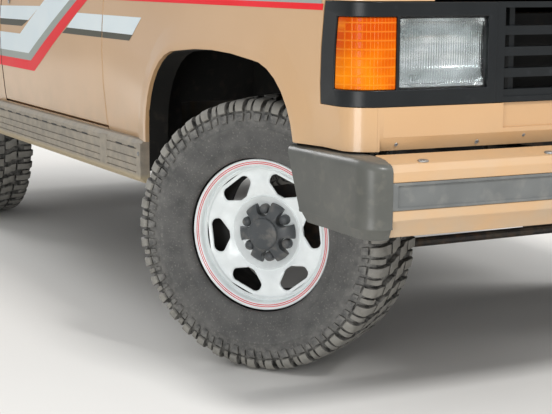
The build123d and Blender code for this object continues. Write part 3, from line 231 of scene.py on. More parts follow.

# %% [markdown]
# Tyre rubber is nearly black under a film of road dust. The side wall carries the dust as a thin grey film
# with scuffs, and the lugs are drawn the palest. The grooves between them are drawn near black, painted shade.
# So the walls, the lug tops and the grooves are three finishes of one recipe.

# %% Moulded tyre rubber
def tyre_rubber(name, colour, dust, dust_low, dust_high):
    """A dull finish with a grey film, thicker under the lugs. Scuffs break it, as kerbs do on a side wall."""
    material, tree, shader, places = new_finish(name, {"IOR": 1.52})
    flat = add_node(tree, "ShaderNodeVectorMath", {"operation": "MULTIPLY", 1: (1, 1, 0)}, {0: places})
    out = add_node(tree, "ShaderNodeVectorMath", {"operation": "LENGTH"}, {0: flat.outputs[0]})
    rising = {"From Min": 0.300, "From Max": 0.352, "To Max": 0.75}
    band = add_node(tree, "ShaderNodeMapRange", rising, {"Value": out.outputs["Value"]})
    film = spots(tree, places, 0.05, dust_low, dust_high, 10.0)
    scuffs = spots(tree, places, 0.006, 0.58, 0.75, 3.0)
    streaks = times(tree, spots(tree, places, 0.02, 0.35, 0.7, 10.0), band.outputs[0])
    dusty = mixed(tree, streaks, mixed(tree, film, colour, dust), "#8B8984")
    colours = mixed(tree, times(tree, scuffs, 0.35), dusty, "#A19D95")
    tree.links.new(colours, shader.inputs["Base Color"])
    rough_by(tree, shader, film, 0.55, 0.85)
    bumped(tree, shader, scuffs, 0.4, 0.0008)
    return material


wall_rubber = tyre_rubber("tyre_rubber_dusty_wall", "#3F3F3E", "#62615F", 0.25, 0.75)
lug_rubber = tyre_rubber("tyre_rubber_dusty_lugs", "#5F5D58", "#928F87", 0.25, 0.65)
# The groove finish is the same rubber drawn near black: painted shade between the lugs.
groove_rubber_painted_shade = tyre_rubber("tyre_rubber_in_grooves", "#1E1E1D", "#35332F", 0.4, 0.9)
print("rubber", wall_rubber.name, lug_rubber.name, groove_rubber_painted_shade.name)

# %% [markdown]
# Under the body there is black chassis paint, cast iron with a skin of rust, and bare steel. All carry the
# same road dust. Bolts are zinc plated.

# %% Metals of the chassis
def dusty_metal(name, colour, second, dust, metallic, smooth, rough, patch):
    """Patches of a second colour, rust or wear, under dust. Metallic is low where paint or rust covers it."""
    material, tree, shader, places = new_finish(name, {"Metallic": metallic})
    patches = spots(tree, places, patch, 0.45, 0.65, 8.0)
    dusty = spots(tree, places, 0.06, 0.45, 0.8, 6.0)
    tree.links.new(
        mixed(tree, dusty, mixed(tree, patches, colour, second), dust), shader.inputs["Base Color"],
    )
    rough_by(tree, shader, dusty, smooth, rough)
    bumped(tree, shader, patches, 0.3, 0.0008)
    return material


chassis_paint = dusty_metal(
    "black_chassis_paint_brushed", "#17181A", "#22211F", "#5A5145", 0.0, 0.45, 0.85, 0.05,
)
cast_iron = dusty_metal("cast_iron_rusted", "#2E2A27", "#4E3A2C", "#5F5547", 0.0, 0.6, 0.9, 0.03)
exhaust_steel = dusty_metal("mild_steel_tube_rusted", "#5A4A3E", "#6E4B33", "#6A5C4C", 0.3, 0.5, 0.85, 0.02)
zinc_steel = dusty_metal("zinc_plated_steel_rolled", "#A7A9AA", "#8E8F8E", "#8A8176", 0.8, 0.35, 0.6, 0.01)
# Partly painted shade: the rim's inside is drawn black, brake dust and the shade seen through the slots.
brake_dust_and_shade = dusty_metal("steel_black_with_brake_dust", "#141312", "#1D1A18", "#2C2824", 0.0, 0.6, 0.9, 0.03)
bright_steel = dusty_metal("polished_steel_tube", "#B8BABB", "#A5A7A8", "#9A9286", 0.9, 0.2, 0.5, 0.05)
print("metals", chassis_paint.name, cast_iron.name, zinc_steel.name)

# %% [markdown]
# Glass is clear with a faint green tint, and the lamps have optics. The turn signal's amber lens is moulded
# with prisms 9 mm wide and 21.5 mm tall, and the edges between them show as bright lines. The prisms are drawn
# as such lines, painted highlights with a slight relief, on the lens solids of the frame, and each lens is
# painted brighter low down, a painted glow. The tail lamps have the same.

# %% Glass and lamp lenses
def clear_glass(name, colour, rough):
    """Float glass: sharp reflections and little colour."""
    material, tree, shader, places = new_finish(
        name, {"Base Color": linear(colour), "Transmission Weight": 1.0, "IOR": 1.45}
    )
    haze = spots(tree, places, 0.15, 0.4, 0.8)
    rough_by(tree, shader, haze, 0.0, rough)
    return material


def fine_lines(tree, places, axis, pitch, share):
    """Thin lines at right angles to an axis, this far apart, each as wide as a share of the pitch."""
    split = add_node(tree, "ShaderNodeSeparateXYZ", {}, {"Vector": places})
    wave = add_node(tree, "ShaderNodeMath", {"operation": "PINGPONG", 1: pitch / 2}, {0: split.outputs[axis]})
    edge = pitch / 2 * (1 - share)
    return add_node(
        tree, "ShaderNodeMapRange", {"From Min": edge, "From Max": pitch / 2}, {"Value": wave.outputs[0]}
    ).outputs[0]


def lamp_plastic(name, colour, bright, painted_highlight_colour, widths):
    """Clear acrylic over a reflector: prisms along X and Z of these widths, painted highlight lines between and
    a painted glow low down.
    """
    material, tree, shader, places = new_finish(name, {"Specular IOR Level": 0.12, "IOR": 1.49})
    lines = [fine_lines(tree, places, axis, width, 0.28) for axis, width in zip(("X", "Z"), widths)]
    grid = add_node(tree, "ShaderNodeMath", {"operation": "MAXIMUM"}, {0: lines[0], 1: lines[1]}).outputs[0]
    # Painted light: the lens is painted brighter toward its lower part, in patches, and the prism edges are
    # painted highlight lines in a paler colour.
    painted_glow_low = below(tree, places, 0.99, 0.90)
    patch = times(tree, painted_glow_low, spots(tree, places, 0.10, 0.38, 0.62, 1.0))
    colours = mixed(tree, times(tree, grid, 0.36), mixed(tree, patch, colour, bright), painted_highlight_colour)
    tree.links.new(colours, shader.inputs["Base Color"])
    rough_by(tree, shader, patch, 0.14, 0.24)
    bumped(tree, shader, grid, 0.7, 0.001)
    return material


window_glass = clear_glass("float_glass_faint_green", "#E6EFEA", 0.02)
prism_sizes = (0.009, 0.0215)
amber_acrylic = lamp_plastic("amber_acrylic_prism_lens", "#C84A00", "#F08600", "#FFA630", prism_sizes)
red_acrylic = lamp_plastic("red_acrylic_prism_lens", "#9C0F12", "#D1272A", "#E86A60", prism_sizes)
print("lenses", amber_acrylic.name, red_acrylic.name)

# %% [markdown]
# The stripes are cut from vinyl film and stuck on the enamel. Film has one even colour with a slight
# unevenness where it has stretched, and a satin surface. The seat's cloth is two sets of crossing threads,
# which give it a fine relief, a soft sheen and almost no gloss.

# %% Vinyl film and woven cloth
def vinyl_film(name, colour, stretched):
    """A thin satin film, a touch paler where it is stretched."""
    material, tree, shader, places = new_finish(name, {"IOR": 1.5, "Specular IOR Level": 0.2})
    uneven = spots(tree, places, 0.2, 0.4, 0.7)
    tree.links.new(mixed(tree, uneven, colour, stretched), shader.inputs["Base Color"])
    rough_by(tree, shader, uneven, 0.35, 0.45)
    return material


def woven_cloth(name, colour, thread):
    """Seat cloth: crossing threads 4 mm apart, drawn coarser than the real 1 mm so that they show."""
    material, tree, shader, places = new_finish(name, {"Sheen Weight": 0.4, "IOR": 1.5})
    thread_pitch = 0.004
    bands = {"Scale": 1 / thread_pitch / 6.283}
    weave = None
    for direction in ("X", "Z"):
        wave = add_node(
            tree, "ShaderNodeTexWave", {**bands, "bands_direction": direction}, {"Vector": places}
        )
        weave = wave.outputs["Fac"] if weave is None else times(tree, weave, wave.outputs["Fac"])
    worn = spots(tree, places, 0.15, 0.4, 0.7)
    tree.links.new(mixed(tree, weave, mixed(tree, worn, colour, thread), thread), shader.inputs["Base Color"])
    rough_by(tree, shader, worn, 0.8, 0.95)
    bumped(tree, shader, weave, 0.6, 0.0008)
    return material


red_film = vinyl_film("red_vinyl_film_cut", "#E80F1C", "#EC2430")
pale_film = vinyl_film("pale_blue_vinyl_film_cut", "#DCE8EC", "#E3ECEE")
grey_film = vinyl_film("grey_vinyl_film_cut", "#9AA09A", "#A2A8A2")
dark_film = vinyl_film("dark_olive_vinyl_film_cut", "#4A4A40", "#535348")
pink_line = vinyl_film("red_pinstripe_film_cut", "#D9474E", "#DE5C62")
seat_cloth = woven_cloth("brown_seat_cloth_woven", "#6B5D4E", "#8A7A67")
print("films and cloth", red_film.name, pale_film.name, seat_cloth.name)

# %% [markdown]
# The camera looks at the right front corner. Its place and turn were solved from the body's parallel lines:
# 28.0 degrees off the vehicle's long axis and 9.5 degrees down, with a 90.5 mm lens on a 36 mm frame. The
# floor is pale and plain. A soft lamp high in front stands for the sun, three weaker ones open the shadows,
# and a pale world fills the rest. What the camera sees behind the floor is plain white.

# %% Camera, light and floor
camera_place = Vector((-2.70354, -5.12463, 1.13364))
camera_yaw, camera_pitch, camera_roll = (math.radians(a) for a in (28.019, 9.491, 0.31))
camera_data = bpy.data.cameras.new("photographer")
camera_data.sensor_width = 36
camera_data.lens = 90.535
camera = bpy.data.objects.new("photographer", camera_data)
bpy.context.scene.collection.objects.link(camera)
camera.matrix_world = (
    Matrix.Translation(camera_place)
    @ Matrix.Rotation(-camera_yaw, 4, "Z")
    @ Matrix.Rotation(math.pi / 2 - camera_pitch, 4, "X")
    @ Matrix.Rotation(camera_roll, 4, "Z")
)
bpy.context.scene.camera = camera


def soft_lamp(name, place, target, size, power):
    """A square area lamp that faces a target."""
    data = bpy.data.lights.new(name, "AREA")
    data.size = size
    data.energy = power
    lamp = bpy.data.objects.new(name, data)
    bpy.context.scene.collection.objects.link(lamp)
    lamp.location = place
    lamp.rotation_euler = (Vector(target) - Vector(place)).to_track_quat("-Z", "Y").to_euler()


soft_lamp("key_softbox", (0.6, -7.4, 7.4), (0, -1.5, 0.6), 1.6, 470)
soft_lamp("bounce_card", (-3.8, -4.3, 0.8), (-0.8, -1.6, 0.4), 1.5, 45)
soft_lamp("left_softbox", (7.0, -1.0, 5.0), (0, 0, 0.8), 4.0, 350)
soft_lamp("rear_softbox", (-2.0, 9.0, 6.0), (0, 0.5, 0.8), 4.0, 450)

world = bpy.data.worlds.new("studio")
bpy.context.scene.world = world
world.use_nodes = True
world_tree = world.node_tree
world_tree.nodes.clear()
rays = add_node(world_tree, "ShaderNodeLightPath")
fill_light = add_node(world_tree, "ShaderNodeBackground", {"Color": linear("#F4F6F8"), "Strength": 0.72})
white_view = add_node(world_tree, "ShaderNodeBackground", {"Color": linear("#FFFFFF"), "Strength": 1.0})
seen = add_node(
    world_tree, "ShaderNodeMath", {"operation": "MAXIMUM"},
    {0: rays.outputs["Is Camera Ray"], 1: rays.outputs["Is Transmission Ray"]},
)
world_mix = add_node(
    world_tree, "ShaderNodeMixShader", {},
    {0: seen.outputs[0], 1: fill_light.outputs[0], 2: white_view.outputs[0]}
)
add_node(world_tree, "ShaderNodeOutputWorld", {}, {"Surface": world_mix.outputs[0]})
bpy.context.scene.view_settings.view_transform = "Standard"

floor_material, floor_tree, floor_shader, floor_places = new_finish(
    "pale_studio_floor", {"Specular IOR Level": 0.2},
)
floor_cloud = spots(floor_tree, floor_places, 1.5, 0.3, 0.7)
floor_tree.links.new(mixed(floor_tree, floor_cloud, "#DEDCD8", "#E2E0DC"), floor_shader.inputs["Base Color"])
rough_by(floor_tree, floor_shader, floor_cloud, 0.8, 0.9)
floor_mesh = bpy.data.meshes.new("studio_floor")
floor_reach = 40
floor_corners = [(a * floor_reach, b * floor_reach, 0) for a, b in ((-1, -1), (1, -1), (1, 1), (-1, 1))]
floor_mesh.from_pydata(floor_corners, [], [(0, 1, 2, 3)])
floor_mesh.materials.append(floor_material)
studio_floor = bpy.data.objects.new("studio_floor", floor_mesh)
bpy.context.scene.collection.objects.link(studio_floor)
print("camera at", tuple(camera_place))

# %% [markdown]
# Every added piece is a mesh built from points and faces. One helper turns the points into a mesh with its
# finishes and its sharp edges, and another shows it as a piece that rides on its body, so that it moves with
# it. The rest are ways to make faces: between rows of points, round an axis, and on an outline's two sides.

# %% Mesh helpers
both_sides = ((-1, "right"), (1, "left"))


def show_mesh(name, mesh, body, place=None):
    """A named object for a mesh, set in place and riding on a body."""
    piece = bpy.data.objects.new(name, mesh)
    bpy.context.scene.collection.objects.link(piece)
    if place is not None:
        piece.matrix_world = place
    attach(piece, body)
    return piece


def mesh_from(name, bm, finishes, sharp_degrees=35):
    """Turns a bmesh into a mesh with smooth faces and sharp edges past an angle."""
    bmesh.ops.remove_doubles(bm, verts=bm.verts, dist=0.00002)
    bmesh.ops.recalc_face_normals(bm, faces=bm.faces)
    for face in bm.faces:
        face.smooth = True
    for edge in bm.edges:
        edge.smooth = len(edge.link_faces) == 2 and edge.calc_face_angle(0) < math.radians(sharp_degrees)
    mesh = bpy.data.meshes.new(name)
    bm.to_mesh(mesh)
    bm.free()
    for finish in finishes:
        mesh.materials.append(finish)
    return mesh


def bridge(bm, rows, closed=False, finish=0):
    """Faces between rows of points that have the same count. Closed rows come back to their start."""
    made = [[bm.verts.new(point) for point in row] for row in rows]
    for first, second in zip(made, made[1:]):
        count = len(first)
        for i in range(count if closed else count - 1):
            j = (i + 1) % count
            bm.faces.new((first[i], first[j], second[j], second[i])).material_index = finish
    return made


def solid_of(bm, rows, finish=0):
    """Closed rows bridged along their way, with a face at each end."""
    made = bridge(bm, rows, closed=True, finish=finish)
    for row in (made[0], made[-1]):
        bm.faces.new(row).material_index = finish


def lathe(bm, profile, steps, finish=0):
    """Turns (radius, height) points about the local Z axis."""
    rows = []
    for radius, height in profile:
        turns = [2 * math.pi * i / steps for i in range(steps)]
        rows.append([(radius * math.cos(a), radius * math.sin(a), height) for a in turns])
    return bridge(bm, rows, closed=True, finish=finish)


def rounded(corners, steps=5):
    """Outline through corners given as (a, b, radius), each turned into an arc."""
    outline = []
    count = len(corners)
    for i, (a, b, radius) in enumerate(corners):
        here = Vector((a, b))
        back = (Vector(corners[i - 1][:2]) - here).normalized()
        ahead = (Vector(corners[(i + 1) % count][:2]) - here).normalized()
        if radius <= 0:
            outline.append(tuple(here))
            continue
        half = back.angle(ahead) / 2
        reach = radius / math.tan(half)
        centre = here + (back + ahead).normalized() * (radius / math.sin(half))
        start = (here + back * reach) - centre
        end = (here + ahead * reach) - centre
        turn = start.angle_signed(end)
        for k in range(steps + 1):
            c, s = math.cos(-turn * k / steps), math.sin(-turn * k / steps)
            outline.append((centre.x + start.x * c - start.y * s, centre.y + start.x * s + start.y * c))
    return outline


def rounded_box(span_a, span_b, radius):
    """Outline of a rectangle over two spans with rounded corners."""
    (low_a, high_a), (low_b, high_b) = span_a, span_b
    return rounded(
        [(low_a, low_b, radius), (high_a, low_b, radius), (high_a, high_b, radius), (low_a, high_b, radius)],
    )


def plate(bm, outline, at, front_level, back_level, finish=0):
    """A flat or bent plate on an outline. at(a, b, out) gives its points, and the levels its two faces."""
    front = [bm.verts.new(at(a, b, front_level)) for a, b in outline]
    back = [bm.verts.new(at(a, b, back_level)) for a, b in outline]
    bm.faces.new(front).material_index = finish
    bm.faces.new(list(reversed(back))).material_index = finish
    for i in range(len(outline)):
        j = (i + 1) % len(outline)
        bm.faces.new((front[j], front[i], back[i], back[j])).material_index = finish


def raised_rib(bm, at, span_a, span_b, slopes, rise):
    """A rib pressed out of a sheet: a rectangle between two spans that slopes in to a smaller one."""
    rows = []
    for inset, level in ((0.0, 0.0), (1.0, rise)):
        low_a, high_a = span_a[0] + inset * slopes[0], span_a[1] - inset * slopes[0]
        low_b, high_b = span_b[0] + inset * slopes[1], span_b[1] - inset * slopes[1]
        corners = ((low_a, low_b), (high_a, low_b), (high_a, high_b), (low_a, high_b))
        rows.append([at(a, b, level) for a, b in corners])
    made = bridge(bm, rows, closed=True)
    bm.faces.new(made[-1])


print("mesh helpers ready")

# %% [markdown]
# CAD pieces come as flat faces. A small network of modifier nodes shades them smooth, but for the edges past an
# angle, and a narrow bevel rounds those edges, so that they catch light.

# %% Smooth curves and soft edges
def smoothing_group(name, degrees):
    """Modifier network that shades a mesh smooth but for the edges past an angle."""
    group = bpy.data.node_groups.new(name, "GeometryNodeTree")
    group.interface.new_socket("Geometry", in_out="INPUT", socket_type="NodeSocketGeometry")
    group.interface.new_socket("Geometry", in_out="OUTPUT", socket_type="NodeSocketGeometry")
    source = add_node(group, "NodeGroupInput")
    bare = add_node(
        group, "GeometryNodeRemoveAttribute", {"Name": "custom_normal"},
        {"Geometry": source.outputs[0]},
    )
    smooth = add_node(group, "GeometryNodeSetShadeSmooth", {"domain": "FACE"}, {"Geometry": bare.outputs[0]})
    all_edges = add_node(
        group, "GeometryNodeSetShadeSmooth", {"domain": "EDGE"}, {"Geometry": smooth.outputs[0]}
    )
    angle = add_node(group, "GeometryNodeInputMeshEdgeAngle")
    past = add_node(
        group, "ShaderNodeMath",
        {"operation": "GREATER_THAN", 1: math.radians(degrees)}, {0: angle.outputs[0]}
    )
    creased = add_node(
        group, "GeometryNodeSetShadeSmooth", {"domain": "EDGE", "Shade Smooth": False},
        {"Geometry": all_edges.outputs[0], "Selection": past.outputs[0]},
    )
    add_node(group, "NodeGroupOutput", {}, {0: creased.outputs[0]})
    return group


smooth_panels = smoothing_group("smooth_to_30_degrees", 30)


def soft_edges(node_name, width):
    """Welds a CAD piece, shades its curves smooth and rounds its edges, as pressed or moulded ones are."""
    piece = nodes[node_name]
    weld = piece.modifiers.new("weld", "WELD")
    weld.merge_threshold = 0.00002
    smooth = piece.modifiers.new("smooth_curves", "NODES")
    smooth.node_group = smooth_panels
    if width > 0:
        bevel = piece.modifiers.new("edge_radius", "BEVEL")
        bevel.width = width
        bevel.segments = 2
        bevel.limit_method = "ANGLE"
        bevel.angle_limit = math.radians(32)
        bevel.harden_normals = True


print("soft edges ready", smooth_panels.name)

# %% [markdown]
# A mud-terrain tyre is a smooth casing with blocks of rubber standing on it. The casing's outer line is three
# arcs: the flat crown, the tight shoulder and the wide side wall, then a curl into the rim. A function walks
# along that line, so that a block can be drawn flat, as a strip of sections, and wrapped round the shoulder.

# %% The tyre's outer line
tyre_low, tyre_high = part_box("tyre_rear_right")
tyre_radius = (tyre_high.z - tyre_low.z) / 2
tread_depth = 0.0145
casing_radius = tyre_radius - tread_depth
casing_arcs = (
    # length along the line, radius of the arc
    (0.114, 2.500),
    (0.0176, 0.0145),
    (0.136, 0.210),
    (0.026, 0.0165),
)
walk_step = 0.001


def walk_casing():
    """Points (radius, width, tilt) every millimetre along half of the casing's line, from its middle."""
    radius, width, tilt = casing_radius, 0.0, 0.0
    line = [(radius, width, tilt)]
    for length, bend in casing_arcs:
        for _ in range(round(length / walk_step)):
            tilt += walk_step / bend
            radius -= walk_step * math.sin(tilt)
            width += walk_step * math.cos(tilt)
            line.append((radius, width, tilt))
    return line


casing_line = walk_casing()


def on_casing(turn, along_line, height):
    """Point of the tyre: turn is the angle round it, along_line the walk from the middle, height above it."""
    side = 1 if along_line >= 0 else -1
    steps = min(abs(along_line) / walk_step, len(casing_line) - 1.001)
    low = int(steps)
    share = steps - low
    radius, width, tilt = (a + (b - a) * share for a, b in zip(casing_line[low], casing_line[low + 1]))
    radius += height * math.cos(tilt)
    width += height * math.sin(tilt)
    return (radius * math.cos(turn), radius * math.sin(turn), side * width)


print("casing ends at", casing_line[-1])

# %% [markdown]
# The tread repeats 40 times. On each side a repeat has a slanted block that locks over the middle, a broad
# shoulder lug, a narrow lug beside it, and below a ring gap, drawn near black as painted shade, the broad and
# the narrow wall lug that go with them. A lug is a strip of sections across its length, each with a narrower
# top, because moulded rubber needs draft to leave its mould.

# %% Lugs and casing
tread_repeats = 40
pitch_turn = 2 * math.pi / tread_repeats
draft = 0.0018
edge_round = 0.0012


def lug(bm, middle_turn, sections, side, top_finish):
    """A rubber block from sections (along the line, left, right, height), left and right round the tyre."""
    rows = []
    for along_line, left, right, height in sections:
        row = []
        for across, level in (
            (left, -0.002), (left + draft * 0.6, height - edge_round), (left + draft, height),
            (right - draft, height), (right - draft * 0.6, height - edge_round), (right, -0.002),
        ):
            row.append(on_casing(middle_turn + across / tyre_radius, side * along_line, level))
        rows.append(row)
    made = [[bm.verts.new(point) for point in row] for row in rows]
    for first, second in zip(made, made[1:]):
        # Faces across a block: side, rounded edge, top, rounded edge, side. The sides and both ends take the
        # near black groove finish, painted shade, and the rounded edges the paler lug finish.
        for i in range(5):
            face = bm.faces.new((first[i], first[i + 1], second[i + 1], second[i]))
            face.material_index = (2, 1, top_finish, 1, 2)[i]
    for row in (made[0], made[-1]):
        bm.faces.new(row).material_index = 2


centre_block = (
    # along the line, left, right, share of the tread depth
    (0.003, -0.012, 0.024, 0.96), (0.005, -0.013, 0.025, 1.0), (0.022, -0.015, 0.023, 1.0),
    (0.036, -0.024, 0.014, 1.0), (0.052, -0.027, 0.011, 1.0), (0.055, -0.026, 0.010, 0.93),
)
broad_shoulder = (
    (0.064, -0.0235, 0.0045, 0.9), (0.066, -0.0245, 0.0055, 1.0), (0.085, -0.0245, 0.0055, 1.0),
    (0.104, -0.0245, 0.0055, 1.0), (0.114, -0.0245, 0.0055, 1.0), (0.120, -0.0245, 0.0055, 1.0),
    (0.126, -0.0240, 0.0050, 1.0), (0.131, -0.0235, 0.0045, 0.98), (0.137, -0.0230, 0.0040, 0.92),
    (0.140, -0.0225, 0.0035, 0.84), (0.1415, -0.0215, 0.0025, 0.40),
)
narrow_shoulder = (
    (0.092, 0.0135, 0.0305, 0.80), (0.094, 0.0130, 0.0310, 0.92), (0.110, 0.0130, 0.0310, 0.86),
    (0.118, 0.0130, 0.0310, 0.66), (0.124, 0.0135, 0.0305, 0.52), (0.132, 0.0135, 0.0305, 0.48),
    (0.138, 0.0140, 0.0300, 0.44), (0.140, 0.0150, 0.0290, 0.2),
)
broad_wall = (
    (0.1455, -0.0225, 0.0035, 0.40), (0.147, -0.0235, 0.0045, 0.56), (0.158, -0.0220, 0.0030, 0.52),
    (0.166, -0.0200, 0.0010, 0.46), (0.169, -0.0190, 0.0000, 0.15),
)
narrow_wall = (
    (0.1455, 0.0140, 0.0300, 0.30), (0.147, 0.0135, 0.0305, 0.44), (0.157, 0.0145, 0.0295, 0.42),
    (0.162, 0.0155, 0.0285, 0.36), (0.1645, 0.0165, 0.0275, 0.12),
)
ring_gap_end = 0.1455
casing_stops = (
    # along the line, closer together where it bends
    0.0, 0.03, 0.06, 0.09, 0.108, 0.112, 0.117, 0.122, 0.127, 0.132, 0.138, 0.1455, 0.150, 0.165,
    0.180, 0.20, 0.215, 0.23, 0.25, 0.258, 0.265, 0.271, 0.277, 0.281, 0.285, 0.289, 0.293,
)
wall_rings = {
    # along the line: height of the fine moulded ring
    0.186: 0.0010, 0.187: 0.0014, 0.188: 0.0010, 0.236: 0.0012, 0.238: 0.0022, 0.242: 0.0022, 0.244: 0.0012,
}


def tyre_mesh():
    """Casing with its rings and all its lugs, turned about local Z with the outside up."""
    bm = bmesh.new()
    half = sorted(casing_stops + tuple(wall_rings))
    line = [-a for a in reversed(half[1:])] + half
    steps = tread_repeats * 4
    rows = []
    for a in line:
        rows.append(
            [on_casing(2 * math.pi * i / steps, a, wall_rings.get(abs(a), 0.0)) for i in range(steps)],
        )
    bridge(bm, rows, closed=True)
    # Casing faces in the tread band take the near black groove finish: painted shade between the lugs and in
    # the ring gap.
    for index, face in enumerate(bm.faces):
        row = index // steps
        face.material_index = 2 if abs(line[row] + line[row + 1]) / 2 < ring_gap_end else 0
    blocks = (centre_block, broad_shoulder, narrow_shoulder, broad_wall, narrow_wall)
    for repeat in range(tread_repeats):
        for side in (-1, 1):
            turn = (repeat + (0.5 if side < 0 else 0.0)) * pitch_turn
            for block in blocks:
                sections = []
                for along_line, left, right, share in block:
                    edges = sorted((side * left, side * right))
                    sections.append((along_line, edges[0], edges[1], share * tread_depth))
                top_finish = 0 if block in (broad_wall, narrow_wall) else 1
                lug(bm, turn, sections, side, top_finish)
    return mesh_from("mud_tyre", bm, (wall_rubber, lug_rubber, groove_rubber_painted_shade), 40)


tyre_shape = tyre_mesh()
print("tyre triangles", sum(len(p.vertices) - 2 for p in tyre_shape.polygons))

# %% [markdown]
# The rim is pressed from steel: a barrel rolled into two flanges, and a dished disc with six slots, welded
# inside. The disc is drawn as six equal sectors. In each one, rings of points lead from the slot's rounded
# outline to the sector's border, so that the surface stays smooth, and the dish gives each point its height.

# %% The rim's disc with its slots
dish_line = (
    # radius, height from the wheel's middle plane
    (0.0450, 0.0390), (0.0800, 0.0390), (0.0880, 0.0405),
    (0.0960, 0.0455), (0.1040, 0.0525), (0.1120, 0.0590),
    (0.1200, 0.0640), (0.1300, 0.0680), (0.1500, 0.0700),
    (0.1700, 0.0690), (0.1850, 0.0700), (0.1920, 0.0725),
    (0.1965, 0.0770),
)
slot_count = 6
first_slot_turn = math.radians(7)
slot_middle = 0.150
slot_outline = rounded(
    [(0.0280, -0.041, 0.018), (0.0280, 0.041, 0.018), (0.002, 0.050, 0.014), (-0.0290, 0.014, 0.018),
     (-0.0290, -0.014, 0.018), (0.002, -0.050, 0.014)], 8
)
sector_low, sector_high = 0.110, 0.192
rim_steps = 144


def dish_height(radius):
    """Height of the dished disc at a radius."""
    for (r0, h0), (r1, h1) in zip(dish_line, dish_line[1:]):
        if radius <= r1:
            return h0 + (h1 - h0) * max(0.0, (radius - r0) / (r1 - r0))
    return dish_line[-1][1]


def sector_border(direction):
    """Where a ray from the slot's middle leaves its sector, as (radius, turn) shares."""
    low, high = 0.0, 0.2
    half_turn = math.pi / slot_count
    for _ in range(40):
        middle = (low + high) / 2
        radius, turn = slot_middle + direction[0] * middle, direction[1] * middle / slot_middle
        inside = sector_low <= radius <= sector_high and abs(turn) <= half_turn
        low, high = (middle, high) if inside else (low, middle)
    return slot_middle + direction[0] * low, direction[1] * low / slot_middle


def sector_borders():
    """The border's points that face the slot's points, the nearest moved to the sector's corners."""
    borders = [sector_border(Vector(point).normalized()) for point in slot_outline]
    for radius in (sector_low, sector_high):
        for turn in (-math.pi / slot_count, math.pi / slot_count):
            gaps = [math.hypot(r - radius, (t - turn) * slot_middle) for r, t in borders]
            borders[gaps.index(min(gaps))] = (radius, turn)
    return borders


def disc_mesh():
    """Pressed disc: slotted sectors, the dish inside them and the rise to the barrel outside."""
    bm = bmesh.new()
    lip_share, slot_lip = 0.14, 0.004
    ring_shares = (0.0, 0.02, 0.06, lip_share, 0.3, 0.6, 1.0)
    borders = sector_borders()
    for k in range(slot_count):
        base_turn = first_slot_turn + k * 2 * math.pi / slot_count
        rows = []
        for share in ring_shares:
            row = []
            for (a, b), border in zip(slot_outline, borders):
                slot_point = (slot_middle + a, b / slot_middle)
                radius = slot_point[0] + (border[0] - slot_point[0]) * share
                turn = base_turn + slot_point[1] + (border[1] - slot_point[1]) * share
                drop = slot_lip * max(0.0, 1 - share / lip_share) ** 2
                row.append((radius * math.cos(turn), radius * math.sin(turn), dish_height(radius) - drop))
            rows.append(row)
        bridge(bm, rows, closed=True)
    lap = 0.0008
    inner = [(r, h) for r, h in dish_line if r < sector_low]
    lathe(bm, inner + [(sector_low + lap, dish_height(sector_low + lap) - lap / 4)], rim_steps)
    outer = [(r, h) for r, h in dish_line if r > sector_high]
    lathe(bm, [(sector_high - lap, dish_height(sector_high - lap) - lap / 4)] + outer, rim_steps)
    return mesh_from("rim_disc", bm, (silver_enamel,), 50)


disc_shape = disc_mesh()
print("disc faces", len(disc_shape.polygons))

# %% [markdown]
# The barrel is one line turned round the axis, from the outer flange over the drop centre to the inner flange.
# Its hidden inside is drawn black: brake dust, and painted shade where it is seen through the slots. Two fine
# red lines run round the land inside the outer flange.

# %% The rim's barrel and pinstripes
barrel_line = (
    # radius, height from the wheel's middle plane
    (0.1965, 0.0770), (0.1985, 0.0860), (0.2010, 0.0925),
    (0.2045, 0.0955), (0.2135, 0.0968), (0.2160, 0.0995),
    (0.2185, 0.1005), (0.2205, 0.0985), (0.2205, 0.0940),
    (0.2165, 0.0915), (0.2050, 0.0870), (0.2040, 0.0600),
    (0.1850, 0.0250), (0.1850, -0.0250), (0.2040, -0.0600), (0.2050, -0.0870), (0.2165, -0.0915),
    (0.2205, -0.0940), (0.2205, -0.0985), (0.2185, -0.1003), (0.2160, -0.0995), (0.2100, -0.0960),
    (0.2000, -0.0900), (0.1990, -0.0600), (0.1800, -0.0250),
    (0.1800, 0.0250), (0.1960, 0.0560), (0.1965, 0.0700),
)


def barrel_mesh():
    """Rolled barrel with both flanges and its drop centre, black behind the disc: brake dust and painted shade.
    """
    bm = bmesh.new()
    lathe(bm, barrel_line, rim_steps)
    well_radius, well_top = 0.2035, 0.074
    for face in bm.faces:
        middle = face.calc_center_median()
        face.material_index = 1 if middle.xy.length < well_radius and middle.z < well_top else 0
    return mesh_from("rim_barrel", bm, (silver_enamel, brake_dust_and_shade), 50)


def pinstripe_mesh():
    """Two fine red lines on the land inside the flange."""
    bm = bmesh.new()
    land_radius, land_height, land_slope = 0.2045, 0.0955, 0.144
    lift = 0.0004
    for edges in ((0.2052, 0.2076), (0.2102, 0.2126)):
        lathe(bm, [(r, land_height + (r - land_radius) * land_slope + lift) for r in edges], rim_steps)
    return mesh_from("rim_pinstripes", bm, (pink_line,), 50)


barrel_shape, pinstripe_shape = barrel_mesh(), pinstripe_mesh()
print("barrel faces", len(barrel_shape.polygons))

# %% [markdown]
# The hub cap is dark grey nylon. Its round face stands just inside the flange's plane, and six fingers reach
# down between the wheel nuts, cut away round each nut. So its edge is a circle with six bites, and rings of
# points run from the face down to that edge. The nuts wear domed covers of the same nylon.

